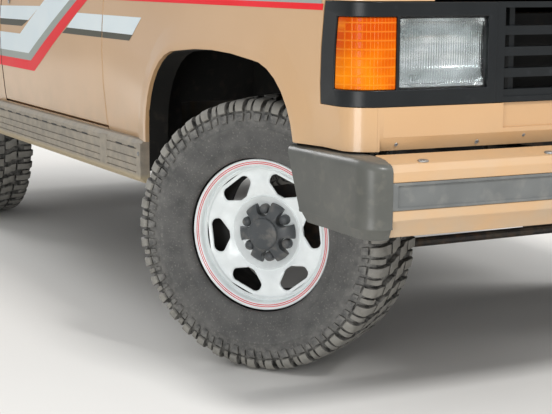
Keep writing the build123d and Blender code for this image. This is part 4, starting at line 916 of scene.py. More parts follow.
# %% Hub cap and wheel nuts
nut_circle_radius = 0.1397 / 2
nut_turn = math.pi / 3
first_nut_turn = math.radians(37)
cap_reach = 0.0895
bite_radius = 0.0195
cap_line = (
    # share of the way to the edge, height
    (0.0, 0.0862), (0.35, 0.0868), (0.47, 0.0870),
    (0.50, 0.0850), (0.515, 0.0790), (0.56, 0.0760), (0.72, 0.0715),
    (0.88, 0.0660), (0.97, 0.0600), (1.0, 0.0550), (1.0, 0.0395),
)


def cap_edge(turn):
    """Radius of the cap's edge at a turn, smaller where a nut needs room."""
    nearest = round((turn - first_nut_turn) / nut_turn) * nut_turn + first_nut_turn
    away = turn - nearest
    side = nut_circle_radius * math.sin(abs(away))
    if side >= bite_radius or abs(away) > math.pi / 2:
        return cap_reach
    return min(cap_reach, nut_circle_radius * math.cos(away) - math.sqrt(bite_radius ** 2 - side ** 2))


def hub_cap_mesh():
    """Cap turned from its line, with a radius that follows its bitten edge."""
    bm = bmesh.new()
    steps = 216
    turns = [2 * math.pi * i / steps for i in range(steps)]
    rows = []
    for share, height in cap_line:
        row = []
        for turn in turns:
            radius = max(0.0005, min(cap_reach * share, cap_edge(turn)))
            row.append((radius * math.cos(turn), radius * math.sin(turn), height))
        rows.append(row)
    bridge(bm, rows, closed=True)
    bm.faces.new([bm.verts.new(p) for p in rows[0]])
    return mesh_from("hub_cap", bm, (hub_plastic,), 40)


nut_line = (
    # radius, height of the domed cover on a wheel nut
    (0.0162, 0.0390), (0.0162, 0.0420), (0.0148, 0.0425),
    (0.0146, 0.0580), (0.0130, 0.0635), (0.0095, 0.0665),
    (0.0050, 0.0680), (0.0003, 0.0684),
)


def nut_mesh():
    """Six wheel nuts under their domed covers."""
    bm = bmesh.new()
    for k in range(6):
        turn = first_nut_turn + k * nut_turn
        place = (nut_circle_radius * math.cos(turn), nut_circle_radius * math.sin(turn), 0)
        for row in lathe(bm, nut_line, 24):
            bmesh.ops.translate(bm, verts=row, vec=place)
    return mesh_from("wheel_nuts", bm, (hub_plastic,), 30)


hub_cap_shape, nut_shape = hub_cap_mesh(), nut_mesh()
print("hub cap faces", len(hub_cap_shape.polygons), "nut faces", len(nut_shape.polygons))

# %% [markdown]
# Each wheel takes the same meshes. Its plane comes from the joint it spins on, with local Z facing outward
# and local Y up, so that the slots and nuts stand as they do on the real wheel.

# %% Set the four wheels
spin_joints = {j["child"]: j for j in frame["joints"] if j["name"].startswith("wheel_spin")}
for body, joint in spin_joints.items():
    corner = body.removeprefix("wheel_")
    centre = Vector(joint["pos_m"])
    outward = Vector(joint["axis"]).normalized()
    if outward.x * centre.x < 0:
        outward = -outward
    up = Vector((0, 0, 1))
    turn = Matrix((up.cross(outward), up, outward)).transposed().to_4x4()
    place = Matrix.Translation(centre) @ turn
    tyre = show_mesh("mud_tyre_" + corner, tyre_shape, body, place)
    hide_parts("tyre_" + corner)
    disc = show_mesh("rim_disc_" + corner, disc_shape, body, place)
    pressed = disc.modifiers.new("sheet_thickness", "SOLIDIFY")
    pressed.thickness = 0.006
    pressed.offset = -1
    pressed.material_offset = 0
    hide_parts("rim_" + corner)
    for name, shape in (
        ("rim_barrel_", barrel_shape), ("rim_pinstripes_", pinstripe_shape),
        ("hub_cap_", hub_cap_shape), ("wheel_nuts_", nut_shape),
    ):
        show_mesh(name + corner, shape, body, place)
print("wheels set", sorted(spin_joints))

# %% [markdown]
# Most CAD pieces already have the right shape. They keep it, get their finish, and their edges are rounded by
# a weld and a small bevel, because real pressed, cast and moulded edges always catch a line of light.

# %% Finishes of the CAD pieces
node_finishes = (
    # finish, edge radius, nodes
    (tan_enamel, 0.004, (
        "front_fenders", "hood", "door_right", "door_left",
        "cab_shell", "cargo_bed", "tailgate", "front_valence",
    )),
    (tan_enamel, 0.003, ("front_bumper",)),
    (charcoal_plastic, 0.003, ("headlamp_bezels", "mirror_right", "mirror_left")),
    (charcoal_plastic, 0.0015, ("grille",)),
    (dusty_plastic, 0.003, ("sill_claddings",)),
    # The engine bay panels take the dark underseal finish, also painted shade inside the arches.
    (underseal, 0.003, ("engine_bay_panels",)),
    (chassis_paint, 0.003, ("frame_rails", "leaf_springs", "propshafts", "fuel_tank", "rear_bumper")),
    (cast_iron, 0.004, (
        "front_axle", "rear_axle", "knuckle_right", "knuckle_left", "engine_and_gearbox", "tie_rod",
    )),
    (exhaust_steel, 0.0, ("exhaust",)),
    (window_glass, 0.0, ("cab_windows", "door_glass_right", "door_glass_left")),
    (amber_acrylic, 0.004, ("turn_signals",)),
    (red_acrylic, 0.003, ("tail_lamps",)),
    (cabin_plastic, 0.008, ("dashboard",)),
    (cabin_plastic, 0.003, ("steering_wheel",)),
    (seat_cloth, 0.01, ("bench_seat",)),
)
for finish, radius, names in node_finishes:
    for name in names:
        nodes[name].data.materials.clear()
        nodes[name].data.materials.append(finish)
        soft_edges(name, radius)

print("finished", sum(len(names) for _, _, names in node_finishes), "CAD pieces")

# %% [markdown]
# Hidden faces of the outer panels get the black underseal finish: what looks inward or down behind the skin,
# the back of the valence, and the firewall. Under the body it is a real coating; on inward faces, the valence's
# back and the firewall it is also painted shade, the dark seen inside the arches and behind the nose. The faces
# are picked by where they look and how high they lie, so that the painted outside and the load bed's inside
# keep their enamel.

# %% Underseal and painted shade behind the panels
underseal_and_painted_shade = {
    # node: height up to which faces that look inward, and faces that look down, get the dark finish
    "front_fenders": (1.2, 1.2), "cargo_bed": (0.72, 0.75),
    "cab_shell": (0.72, 0.75), "front_valence": (0.72, 0.75),
}
under_half_width = 0.95
firewall_top, firewall_half_width = 1.18, 0.955
for name, (inward_top, under_top) in underseal_and_painted_shade.items():
    mesh = nodes[name].data
    mesh.materials.append(underseal)
    for polygon in mesh.polygons:
        place = nodes[name].matrix_world @ polygon.center
        facing = nodes[name].matrix_world.to_3x3() @ polygon.normal
        off_middle = abs(place.x)
        inward = facing.x * place.x < -0.3 * off_middle and place.z < inward_top
        under = facing.z < -0.5 and off_middle < under_half_width and place.z < under_top
        behind = name == "front_valence" and facing.y > 0.5
        forward = name == "cab_shell" and facing.y < -0.5
        firewall = forward and place.z < firewall_top and off_middle < firewall_half_width
        if inward or under or behind or firewall:
            polygon.material_index = 1
print("underseal_and_painted_shade", tuple(underseal_and_painted_shade))

# %% [markdown]
# The bumper's plastic trim is one moulding style: two end caps and the strip between them. A cap starts at
# the bumper's end, turns the corner with a 60 mm radius and runs back to a slanted end. Its top edge is
# rolled over with a 22 mm radius, and low down a crease marks where the wall tucks in. So the cap is a
# closed section carried along that plan line.

# %% Bumper caps
kingpin_offset, rest_steer = 0.118, math.radians(35)
front_axle_y = spin_joints["wheel_front_right"]["pos_m"][1] + kingpin_offset * math.sin(rest_steer)
cap_inner_x, cap_outer_x = 0.9303, 1.000
cap_turn = 0.060
cap_front_aft, cap_turn_aft = -0.873, -0.813
cap_low_z, cap_crease_z = 0.507, 0.536
cap_end_foot, cap_end_z, cap_end_slant = -0.469, 0.6985, 0.446
cap_top_points = ((-0.900, 0.687), (-0.850, 0.699), (-0.800, 0.7035), (cap_end_foot, 0.7), (-0.400, 0.7))
cap_roll = 0.022
cap_wall = 0.030
cap_roof = 0.014
nose_bow = 16.0


def cap_top_z(aft):
    """Height of the cap's top at a distance aft."""
    for (a0, z0), (a1, z1) in zip(cap_top_points, cap_top_points[1:]):
        if aft <= a1:
            return z0 + (z1 - z0) * (aft - a0) / (a1 - a0)
    return cap_top_points[-1][1]


def cap_end_aft(z):
    """Slanted rear end of the cap."""
    return cap_end_foot - (cap_end_z - z) * cap_end_slant


def cap_point(share, inset, z):
    """Point of the cap's plan line, inset: 0 to 1 across the front, to 2 round the corner, to 3 back."""
    if share <= 1:
        return cap_inner_x + (cap_outer_x - cap_turn - cap_inner_x) * share, cap_front_aft + inset
    if share <= 2:
        turn = (share - 1) * math.pi / 2
        radius = cap_turn - inset
        return (cap_outer_x - cap_turn + radius * math.sin(turn), cap_turn_aft - radius * math.cos(turn))
    return cap_outer_x - inset, cap_turn_aft + (cap_end_aft(z) - cap_turn_aft) * (share - 2)


def cap_section(share, side):
    """Closed section of the cap: outer wall from the bottom, rolled edge, roof, and the inner wall."""
    top = cap_top_z(cap_point(share, 0.0, 0.6)[1])
    wall = [
        # height, distance in from the plan line
        (cap_low_z, 0.0190), (cap_low_z + 0.001, 0.0165), (cap_crease_z - 0.004, 0.0065),
        (cap_crease_z - 0.0015, 0.0055), (cap_crease_z - 0.0005, -0.0010), (cap_crease_z + 0.0025, -0.0014),
        (cap_crease_z + 0.0075, 0.0), (0.570, 0.0), (0.620, 0.0),
    ]
    for step in range(7):
        angle = math.pi / 2 * step / 6
        wall.append((top - cap_roll * (1 - math.sin(angle)), cap_roll * (1 - math.cos(angle))))
    points = []
    for z, inset in wall:
        x, aft = cap_point(share, inset, z)
        points.append((x, aft, z))
    roof_aft = max(points[-1][1], cap_front_aft + cap_roll)
    points += [(cap_inner_x, roof_aft, top), (cap_inner_x, roof_aft, top - cap_roof)]
    for z in (top - cap_roof, cap_low_z):
        x, aft = cap_point(share, cap_wall, z)
        points.append((max(x, cap_inner_x), aft, z))
    return [(side * x, front_axle_y + aft, z) for x, aft, z in points]


print("cap section has", len(cap_section(0.0, 1)), "points")

# %% [markdown]
# The strip's section has a raised border round a flat field, and it follows the bow of the bumper's front.
# Caps and strip are one mesh that takes the place of the trim's plain solids.

# %% Bumper strip, and the trim as one piece
strip_field = 0.0045
strip_section = (
    # height, depth behind the bumper's front line
    (0.5803, 0.0097), (0.5803, 0.0012), (0.5815, 0.0),
    (0.5863, 0.0), (0.5885, strip_field), (0.6385, strip_field),
    (0.6407, 0.0), (0.6455, 0.0), (0.6467, 0.0012), (0.6467, 0.0097),
)


def strip_depth(depth, share):
    """Depth of the strip's section: its ends are rounded, and its field stops 1.5 percent before them."""
    if depth == strip_field and abs(share) > 0.984:
        depth = 0.0
    return max(depth, 0.0012) if abs(share) == 1 else max(depth, 0.0)


def bumper_trim_mesh():
    """Both caps and the strip."""
    bm = bmesh.new()
    shares = [0, 0.5] + [1 + step / 10 for step in range(11)] + [2.1, 2.3, 2.6, 2.9, 3.0]
    for side in (-1, 1):
        solid_of(bm, [cap_section(share, side) for share in shares])
    inner_shares = [-0.983] + [step / 12 for step in range(-11, 12)] + [0.983]
    strip_shares = [-1, -0.998, -0.985] + inner_shares + [0.985, 0.998, 1]
    strip_half_length, strip_front_aft = cap_inner_x - 0.0005, -0.900
    rows = []
    for share in strip_shares:
        x = share * strip_half_length
        front = front_axle_y + strip_front_aft + x * x / (2 * nose_bow)
        rows.append([(x, front + strip_depth(depth, share), z) for z, depth in strip_section])
    made = bridge(bm, rows, closed=True, finish=1)
    bm.faces.new(made[0])
    bm.faces.new(made[-1])
    return mesh_from("bumper_trim", bm, (grey_plastic, bleached_strip), 40)


trim = show_mesh("front_bumper_caps_and_strip", bumper_trim_mesh(), "chassis")
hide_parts("front_bumper_trim")
print("trim faces", len(trim.data.polygons))

# %% [markdown]
# A sealed-beam lamp of this kind has a glass lens with a plain border, a bead round the fluted field, upright
# flutes 7.1 mm wide and a slight crown. Behind it stands a silvered bowl, one piece with the lens, so no bulb
# shows. The flutes are real relief, so that the bowl breaks into upright bands as it does on the road, and the
# glass adds darker upright bands of painted shade over them.

# %% Headlamps
lamp_low_x, lamp_high_x = 0.5913, 0.8467
lamp_low_z, lamp_high_z = 0.8583, 1.0347
lamp_front_aft = -0.779
lamp_back = 0.050
flute_count = 36
flute_relief = 0.0014
lens_crown = 0.004
lens_border = 0.013
bowl_depth = 0.038


def lamp_front_y(x):
    """Front of the lamps, which follows the bow of the nose."""
    return front_axle_y + lamp_front_aft + x * x / (2 * nose_bow)


def lens_relief(u, v):
    """Depth of the lens at shares of its half width and half height: border, bead, flutes and crown."""
    half_x, half_z = (lamp_high_x - lamp_low_x) / 2, (lamp_high_z - lamp_low_z) / 2
    inside = min((1 - abs(u)) * half_x, (1 - abs(v)) * half_z)
    if inside < lens_border * 0.75:
        return 0.0005
    if inside < lens_border:
        return -0.0020
    crown = lens_crown * (1 - u * u) * (1 - v * v)
    return 0.0005 - crown + flute_relief * abs(math.sin(u * flute_count / 2 * math.pi))


def bowl_rise(u, v):
    """How far the silvered bowl comes forward: a wide dish with a ridge over and under its middle."""
    return min(1.0, (0.50 * u * u + 0.70 * v * v) + 0.05 * math.cos(2.5 * math.pi * v))


def headlamp_mesh():
    """Lens, silvered bowl and housing of both headlamps."""
    bm = bmesh.new()
    columns = 8 * flute_count
    lens_columns = [2 * i / columns - 1 for i in range(columns + 1)]
    lens_levels = (-1, -0.92, -0.885, -0.86, -0.845, -0.7, -0.5, -0.25, 0,
                   0.25, 0.5, 0.7, 0.845, 0.86, 0.885, 0.92, 1)
    bowl_shares = [step / 12 for step in range(-12, 13)]
    bowl_width, bowl_height = 0.96, 0.94
    middle_z, half_z = (lamp_low_z + lamp_high_z) / 2, (lamp_high_z - lamp_low_z) / 2
    for side in (-1, 1):
        middle_x, half_x = side * (lamp_low_x + lamp_high_x) / 2, (lamp_high_x - lamp_low_x) / 2

        def at(u, v, depth):
            """Point of the lamp at shares of its half width and half height, behind its front."""
            x = middle_x + u * half_x
            return (x, lamp_front_y(x) + depth, middle_z + v * half_z)

        bridge(bm, [[at(u, v, lens_relief(u, v)) for u in lens_columns] for v in lens_levels])
        bowl = []
        for v in bowl_shares:
            depths = [lamp_back - bowl_depth * bowl_rise(u, v) for u in bowl_shares]
            bowl.append([at(u * bowl_width, v * bowl_height, depth) for u, depth in zip(bowl_shares, depths)])
        bridge(bm, bowl, finish=1)
        corners = ((-1, -1), (1, -1), (1, 1), (-1, 1))
        housing = [[at(u, v, depth) for u, v in corners] for depth in (0.002, lamp_back + 0.002)]
        made = bridge(bm, housing, closed=True, finish=2)
        bm.faces.new(made[-1]).material_index = 2
    return mesh_from("headlamp_pair", bm, (lamp_glass, silvered_bowl, charcoal_plastic), 60)


def fluted_glass(name, colour, shade):
    """Pressed glass with upright bands painted darker in its colour, painted shade for the flutes bending the
    view of the bowl.
    """
    material, tree, shader, places = new_finish(
        name, {"Transmission Weight": 1.0, "IOR": 1.45, "Roughness": 0.04},
    )
    # Painted shade: fine upright bands of the glass's colour go darker, in patches, over the flutes.
    bands = fine_lines(tree, places, "X", 0.0071, 0.7)
    haze = times(tree, bands, spots(tree, places, 0.04, 0.1, 0.5, 2.0))
    tree.links.new(mixed(tree, haze, colour, shade), shader.inputs["Base Color"])
    return material


lamp_glass = fluted_glass("headlamp_glass_fluted", "#FFFFFF", "#94A1A2")
silvered_bowl = dusty_metal("silvered_lamp_bowl", "#EEF3F4", "#D5DCDD", "#C4CBCB", 0.75, 0.18, 0.34, 0.06)
lamps = show_mesh("headlamp_pair", headlamp_mesh(), "chassis")
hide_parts("headlamps")
print("lamp faces", len(lamps.data.polygons))

# %% [markdown]
# Four oval-headed bolts hold the bumper bar from above, and small screws hold the valence along its lower
# edge. All are low domes of zinc plated steel, turned to stand square on the sheet that they hold.

# %% Bolts and screws at the front
front_bolts = (
    # x, distance aft, height, long and short radius, tilt of the sheet from level in degrees
    (0.830, -0.848, 0.6928, 0.0145, 0.0115, 10), (0.455, -0.859, 0.6938, 0.0145, 0.0115, 10),
    (0.8475, -0.7535, 0.7232, 0.0050, 0.0050, 116), (0.611, -0.763, 0.7196, 0.0060, 0.0060, 116),
    (0.470, -0.772, 0.731, 0.0050, 0.0050, 116),
)
bolt_dome = ((1.0, 0.0), (1.0, 0.35), (0.85, 0.75), (0.5, 0.95), (0.02, 1.0))
dome_height = 0.35


def bolts_mesh():
    """Domed heads at their places, mirrored to both sides."""
    bm = bmesh.new()
    for x, aft, z, long_radius, short_radius, tilt in front_bolts:
        for side in (-1, 1):
            place = (
                Matrix.Translation((side * x, front_axle_y + aft, z))
                @ Matrix.Rotation(math.radians(tilt), 4, "X")
                @ Matrix.Diagonal((long_radius, short_radius, short_radius * dome_height, 1.0))
            )
            for row in lathe(bm, bolt_dome, 20):
                bmesh.ops.transform(bm, matrix=place, verts=row)
    return mesh_from("front_bolts", bm, (zinc_steel,), 50)


show_mesh("front_bolts", bolts_mesh(), "chassis")
print("bolts set", 2 * len(front_bolts))

# %% [markdown]
# The stripes are polygons of film laid on the body side. The side bulges a little, so each polygon is cut
# into bands 20 mm high and every point is set on the bulge, a hair above the paint. Distances run aft from
# the front axle, as a sign maker would measure them along the body. Four lines with the same two bends part
# the three films, and each film is cut where one panel ends and the next begins.

# %% Vinyl stripes
side_half_width = 0.978
side_widest_z = 0.870
side_bulge = 0.288
side_levels = (0.500, 0.640, 0.760, 0.870, 0.960, 1.050, 1.150)
film_lift = 0.0007
film_band = 0.02


def side_x(z):
    """Half width of the body side at a height, straight between the CAD section's corners."""
    low, high = next((a, b) for a, b in zip(side_levels, side_levels[1:]) if z <= b or b == side_levels[-1])
    at_low, at_high = (side_half_width - side_bulge * (level - side_widest_z) ** 2 for level in (low, high))
    return at_low + (at_high - at_low) * (z - low) / (high - low)


def film_piece(name, outlines, finish, body, side):
    """Film cut to outlines of (distance aft, height) and laid on one side of the body."""
    bm = bmesh.new()
    for outline in outlines:
        bm.faces.new([bm.verts.new((0, aft, z)) for aft, z in outline])
    heights = [v.co.z for v in bm.verts]
    z = math.ceil(min(heights) / film_band) * film_band
    while z < max(heights):
        geometry = list(bm.verts) + list(bm.edges) + list(bm.faces)
        bmesh.ops.bisect_plane(bm, geom=geometry, dist=1e-6, plane_co=(0, 0, z), plane_no=(0, 0, 1))
        z += film_band
    for vertex in bm.verts:
        vertex.co = Vector(
            (side * (side_x(vertex.co.z) + film_lift), front_axle_y + vertex.co.y, vertex.co.z),
        )
    show_mesh(name, mesh_from(name, bm, (finish,)), body)


door_edge_front, door_edge_rear = 0.915, 2.090
fender_edge, cab_edge, cab_rear_edge = 0.908, 2.097, 2.225
stripe_lines = (
    # height at the rear, distance aft of the rear bend and of the top bend, height ahead of it
    (0.756, 1.662, 1.060, 1.048), (0.795, 1.700, 1.128, 1.064),
    (0.823, 1.722, 1.180, 1.074), (0.896, 1.825, 1.395, 1.102),
)
stripe_films = (("red", red_film), ("grey", grey_film), ("pale", pale_film))
stripe_bands = list(zip(stripe_films, stripe_lines, stripe_lines[1:]))


def band_outline(low_line, high_line, start, end):
    """Outline of a stripe between two lines over a stretch of the side."""
    low, high = (
        [(end, z), (rear_bend, z), (top_bend, top_z), (start, top_z)]
        for z, rear_bend, top_bend, top_z in (low_line, high_line)
    )
    return low + list(reversed(high))


def clipped(outline, low_aft, high_aft):
    """The part of an outline between two distances aft."""
    for limit, keep in ((low_aft, 1), (high_aft, -1)):
        result = []
        for (a0, z0), (a1, z1) in zip(outline, outline[1:] + outline[:1]):
            inside0, inside1 = keep * (a0 - limit) >= 0, keep * (a1 - limit) >= 0
            if inside0:
                result.append((a0, z0))
            if inside0 != inside1:
                share = (limit - a0) / (a1 - a0)
                result.append((limit, z0 + (z1 - z0) * share))
        outline = result
    return outline


nose_ends = {"red": -0.596, "grey": -0.586, "pale": -0.586}
film_blocks = (
    # name, finish, corners
    ("front_pale", pale_film, [(1.165, 0.996), (0.566, 0.996), (0.636, 0.938), (1.269, 0.940)]),
    ("front_dark", dark_film, [(1.269, 0.940), (0.636, 0.938), (0.664, 0.918), (1.320, 0.918)]),
    ("rear_pale", pale_film, [(2.225, 1.000), (1.582, 1.011), (1.718, 0.953), (2.225, 0.949)]),
    ("rear_dark", dark_film, [(2.225, 0.949), (1.718, 0.953), (1.803, 0.927), (2.225, 0.924)]),
)
for side, side_name in both_sides:
    stretches = (
        ("fender", "chassis", -0.600, fender_edge),
        ("door", "door_" + side_name, door_edge_front, door_edge_rear),
        ("cab", "chassis", cab_edge, cab_rear_edge),
    )
    for (colour, film), low_line, high_line in stripe_bands:
        whole = band_outline(low_line, high_line, nose_ends[colour], 3.800)
        for place_name, body, start, end in stretches:
            part = clipped(whole, start, end)
            film_piece(f"stripe_{colour}_{place_name}_{side_name}", [part], film, body, side)
    for name, film, corners in film_blocks:
        for place_name, body, start, end in stretches:
            part = clipped(corners, start, end)
            if len(part) > 2:
                film_piece(f"block_{name}_{place_name}_{side_name}", [part], film, body, side)
print("stripes laid", len(stripe_bands), "bands and", len(film_blocks), "blocks a side")

# %% [markdown]
# The stripes go on behind the cab as far as the rear arch's flare, and start again behind it. Each ends on a
# slant, cut parallel to the flare or to the bend of the stripes on the door.

# %% Stripes on the load bed
bed_edge, bed_end = 2.257, 3.829
before_flare = ((0.756, 2.315), (0.896, 2.382))
after_flare = ((0.756, 3.552), (0.896, 3.482))
block_end, block_slant = 2.540, 1.3


def slanted(line, z):
    """Distance aft of a slanted cut at a height."""
    (low_z, low_aft), (high_z, high_aft) = line
    return low_aft + (high_aft - low_aft) * (z - low_z) / (high_z - low_z)


for side, side_name in both_sides:
    for (colour, film), (low, *_), (high, *_) in stripe_bands:
        before = [slanted(before_flare, z) for z in (low, high)]
        after = [slanted(after_flare, z) for z in (low, high)]
        front_part = [(bed_edge, low), (before[0], low), (before[1], high), (bed_edge, high)]
        rear_part = [(after[0], low), (bed_end, low), (bed_end, high), (after[1], high)]
        film_piece(f"stripe_{colour}_bed_{side_name}", [front_part, rear_part], film, "chassis", side)
    for name, film, low, high in (("pale", pale_film, 0.949, 1.000), ("dark", dark_film, 0.924, 0.949)):
        cut = [block_end - block_slant * (z - 0.924) for z in (low, high)]
        slant = [(bed_edge, low), (cut[0], low), (cut[1], high), (bed_edge, high)]
        film_piece(f"block_bed_{name}_{side_name}", [slant], film, "chassis", side)
print("bed stripes laid")

# %% [markdown]
# Inside a wheel arch the lip's return keeps its paint along its outer edge, and behind that it is drawn dark
# with the underseal finish: painted shade, where the return lies in shadow. The strip is 2 mm thick and lies on
# the return, all the way along the arch's outline.

# %% Arch edges, dark with painted shade
arch_half, arch_corner, arch_crown, arch_top = 0.495, 0.250, 0.014, 0.921
arch_steps = 8
edge_outer_x, edge_inner_x = 0.980, 0.915


def arch_line(centre_y, inset, front_foot, rear_foot):
    """The arch's outline in (y, z), moved in by inset: feet, rounded corners and crowned top."""
    flat = arch_half - arch_corner
    turn_z = arch_top - arch_crown - arch_corner
    radius = arch_corner - inset
    turns = [math.pi / 2 * step / arch_steps for step in range(arch_steps + 1)]
    rear = [(flat + radius * math.cos(a), turn_z + radius * math.sin(a)) for a in turns]
    rise = [(flat * share, arch_top - inset - arch_crown * share * share) for share in (0.5, 0, -0.5)]
    front = [(-y, z) for y, z in reversed(rear)]
    outline = [(arch_half - inset, rear_foot)] + rear + rise + front + [(inset - arch_half, front_foot)]
    return [(centre_y + y, z) for y, z in outline]


def arch_shade_strip_mesh():
    """The dark strip of painted shade in all four arches."""
    bm = bmesh.new()
    rear_axle_y = spin_joints["wheel_rear_right"]["pos_m"][1]
    for side in (-1, 1):
        for centre_y, front_foot, rear_foot in ((front_axle_y, 0.712, 0.508), (rear_axle_y, 0.604, 0.604)):
            outer, inner = (arch_line(centre_y, inset, front_foot, rear_foot) for inset in (0.0004, 0.0024))
            rows = []
            for (y0, z0), (y1, z1) in zip(outer, inner):
                rows.append([
                    (side * edge_outer_x, y0, z0), (side * edge_outer_x, y1, z1),
                    (side * edge_inner_x, y1, z1), (side * edge_inner_x, y0, z0),
                ])
            solid_of(bm, rows)
    return mesh_from("arch_edges", bm, (underseal,), 30)


show_mesh("arch_edges", arch_shade_strip_mesh(), "chassis")
print("arch edges set")

# %% [markdown]
# Windows sit in rubber frames. A frame is a bead carried round the opening: it laps the painted edge outside,
# stands 4 mm proud and drops to the glass. The corners are rounded, so the glass looks rounded too, as it is.
# A framed opening lies in a plane, and the bead's section is measured across and up from that plane.

# %% Rubber frames of the windows
seal_section = (
    # distance in from the opening's edge, height over the panel
    (-0.010, 0.0002), (-0.0095, 0.0030), (-0.0075, 0.0042), (0.0040, 0.0042), (0.0065, 0.0028),
    (0.0120, -0.0120), (0.0120, -0.0160), (0.0010, -0.0160),
)


def framed(bm, path, normal, section):
    """Carries a closed section round a closed path of points that runs anticlockwise seen from the normal."""
    count = len(path)
    rows = []
    for i, point in enumerate(path):
        back = (point - path[i - 1]).normalized()
        ahead = (path[(i + 1) % count] - point).normalized()
        into_back, into_ahead = normal.cross(back), normal.cross(ahead)
        into = (into_back + into_ahead).normalized()
        reach = 1 / max(0.3, into.dot(into_ahead))
        rows.append([bm.verts.new(point + into * (reach * across) + normal * up) for across, up in section])
    for first, second in zip(rows, rows[1:] + rows[:1]):
        for i in range(len(section)):
            j = (i + 1) % len(section)
            bm.faces.new((first[i], first[j], second[j], second[i]))


belt_z, belt_half_width, screen_foot_aft = 1.200, 0.9054, 0.790
side_lean, screen_lean = 0.17138, 0.59055


def on_cab_side(side, aft, z):
    """Point on the leaning side of the cab above the belt."""
    return Vector((side * (belt_half_width - side_lean * (z - belt_z)), front_axle_y + aft, z))


def on_windscreen(x, z):
    """Point on the outer plane of the windscreen's opening."""
    return Vector((x, front_axle_y + screen_foot_aft + screen_lean * (z - belt_z), z))


door_window = rounded([
    (1.010, 1.250, 0.018), (2.025, 1.250, 0.030),
    (2.025, 1.735, 0.045), (1.262, 1.735, 0.060), (1.010, 1.290, 0.020),
])
windscreen = rounded(
    [(-0.815, 1.228, 0.04), (0.815, 1.228, 0.04), (0.705, 1.800, 0.05), (-0.705, 1.800, 0.05)],
)
rear_window = rounded(
    [(0.700, 1.270, 0.05), (-0.700, 1.270, 0.05), (-0.640, 1.700, 0.05), (0.640, 1.700, 0.05)],
)


def seal_piece(name, path, normal, body):
    """One rubber frame as a piece on its body."""
    bm = bmesh.new()
    turn = sum(((a - path[0]).cross(b - path[0]).dot(normal) for a, b in zip(path, path[1:])), 0.0)
    framed(bm, path if turn > 0 else list(reversed(path)), normal, seal_section)
    show_mesh(name, mesh_from(name, bm, (black_rubber_trim,), 40), body)


for side, side_name in both_sides:
    leaning_out = Vector((side, 0, side_lean)).normalized()
    path = [on_cab_side(side, aft, z) for aft, z in door_window]
    seal_piece("window_seal_" + side_name, path, leaning_out, "door_" + side_name)
screen_out = Vector((0, -1, screen_lean)).normalized()
seal_piece("windscreen_seal", [on_windscreen(x, z) for x, z in windscreen], screen_out, "chassis")
aft_way = Vector((0, 1, 0))
rear_window_path = [Vector((x, front_axle_y + cab_rear_edge, z)) for x, z in rear_window]
seal_piece("rear_window_seal", rear_window_path, aft_way, "chassis")
print("window frames set")

# %% [markdown]
# Wiper arms, levers and armrests are bars that follow a line. One function carries a round or flattened
# section along points, with its own width at each point, so that an arm can taper toward its blade.

# %% Bars along a line
def bar(bm, points, widths, flat=1.0, sides=10, finish=0):
    """A bar along points with a half width at each. flat squeezes the section toward the line's own plane."""
    rows = []
    for i, point in enumerate(points):
        back, ahead = points[max(i - 1, 0)], points[min(i + 1, len(points) - 1)]
        way = (ahead - back).normalized()
        across = way.cross(Vector((0, 0, 1)) if abs(way.z) < 0.9 else Vector((0, 1, 0))).normalized()
        up = across.cross(way).normalized()
        turns = [2 * math.pi * k / sides for k in range(sides)]
        width, height = widths[i], widths[i] * flat
        rows.append([point + across * (width * math.cos(a)) + up * (height * math.sin(a)) for a in turns])
    solid_of(bm, rows, finish)


print("bar helper ready")

# %% [markdown]
# Two wipers rest along the foot of the windscreen. Each has a spindle in the cowl, a painted arm that springs
# the blade against the glass, and a rubber blade held by its middle.

# %% Windscreen wipers
screen_low_z, screen_rise = 1.228, 0.861


def on_glass(x, up, out):
    """Point over the windscreen: across, up its slope from the lower edge, and out from the glass plane."""
    return on_windscreen(x, screen_low_z + up * screen_rise) + screen_out * out


def wipers_mesh():
    """Both wipers, parked toward the vehicle's right."""
    bm = bmesh.new()
    spindle_up, blade_up, arm_length = -0.030, 0.058, 0.36
    arm_line = (
        # along the arm, up from the spindle, out from the glass
        (0.0, 0.0, 0.022), (0.06, 0.008, 0.024), (0.20, 0.030, 0.020), (arm_length, 0.052, 0.012),
        (0.40, 0.056, 0.008),
    )
    for pivot_x in (-0.10, 0.60):
        spindle = [on_glass(pivot_x, spindle_up, out) for out in (0.0, 0.012, 0.024, 0.030)]
        bar(bm, spindle, (0.016, 0.016, 0.013, 0.009), sides=16)
        arm = [on_glass(pivot_x - along, spindle_up + rise, out) for along, rise, out in arm_line]
        bar(bm, arm, (0.012, 0.010, 0.007, 0.005, 0.004), flat=0.5)
        blade = []
        for along in (-0.24, -0.12, 0, 0.12, 0.24):
            blade.append(on_glass(pivot_x - arm_length + along, blade_up + 0.02 * along, 0.003))
        bar(bm, blade, (0.003, 0.005, 0.007, 0.005, 0.003), finish=1)
        lip = [point - screen_out * 0.008 for point in blade]
        bar(bm, lip, (0.0025,) * 5, finish=1)
    return mesh_from("wipers", bm, (charcoal_plastic, black_rubber_trim), 40)


show_mesh("wipers", wipers_mesh(), "chassis")
print("wipers set")

# %% [markdown]
# The door handle is a moulded cup with a lever over it. The cup is a plate with rounded corners, 156 mm long,
# and the lever is a bar bowed 13 mm out. Below it sits the lock, a small bright barrel.

# %% Door handles and locks
bow_shares = [step / 8 - 1 for step in range(17)]


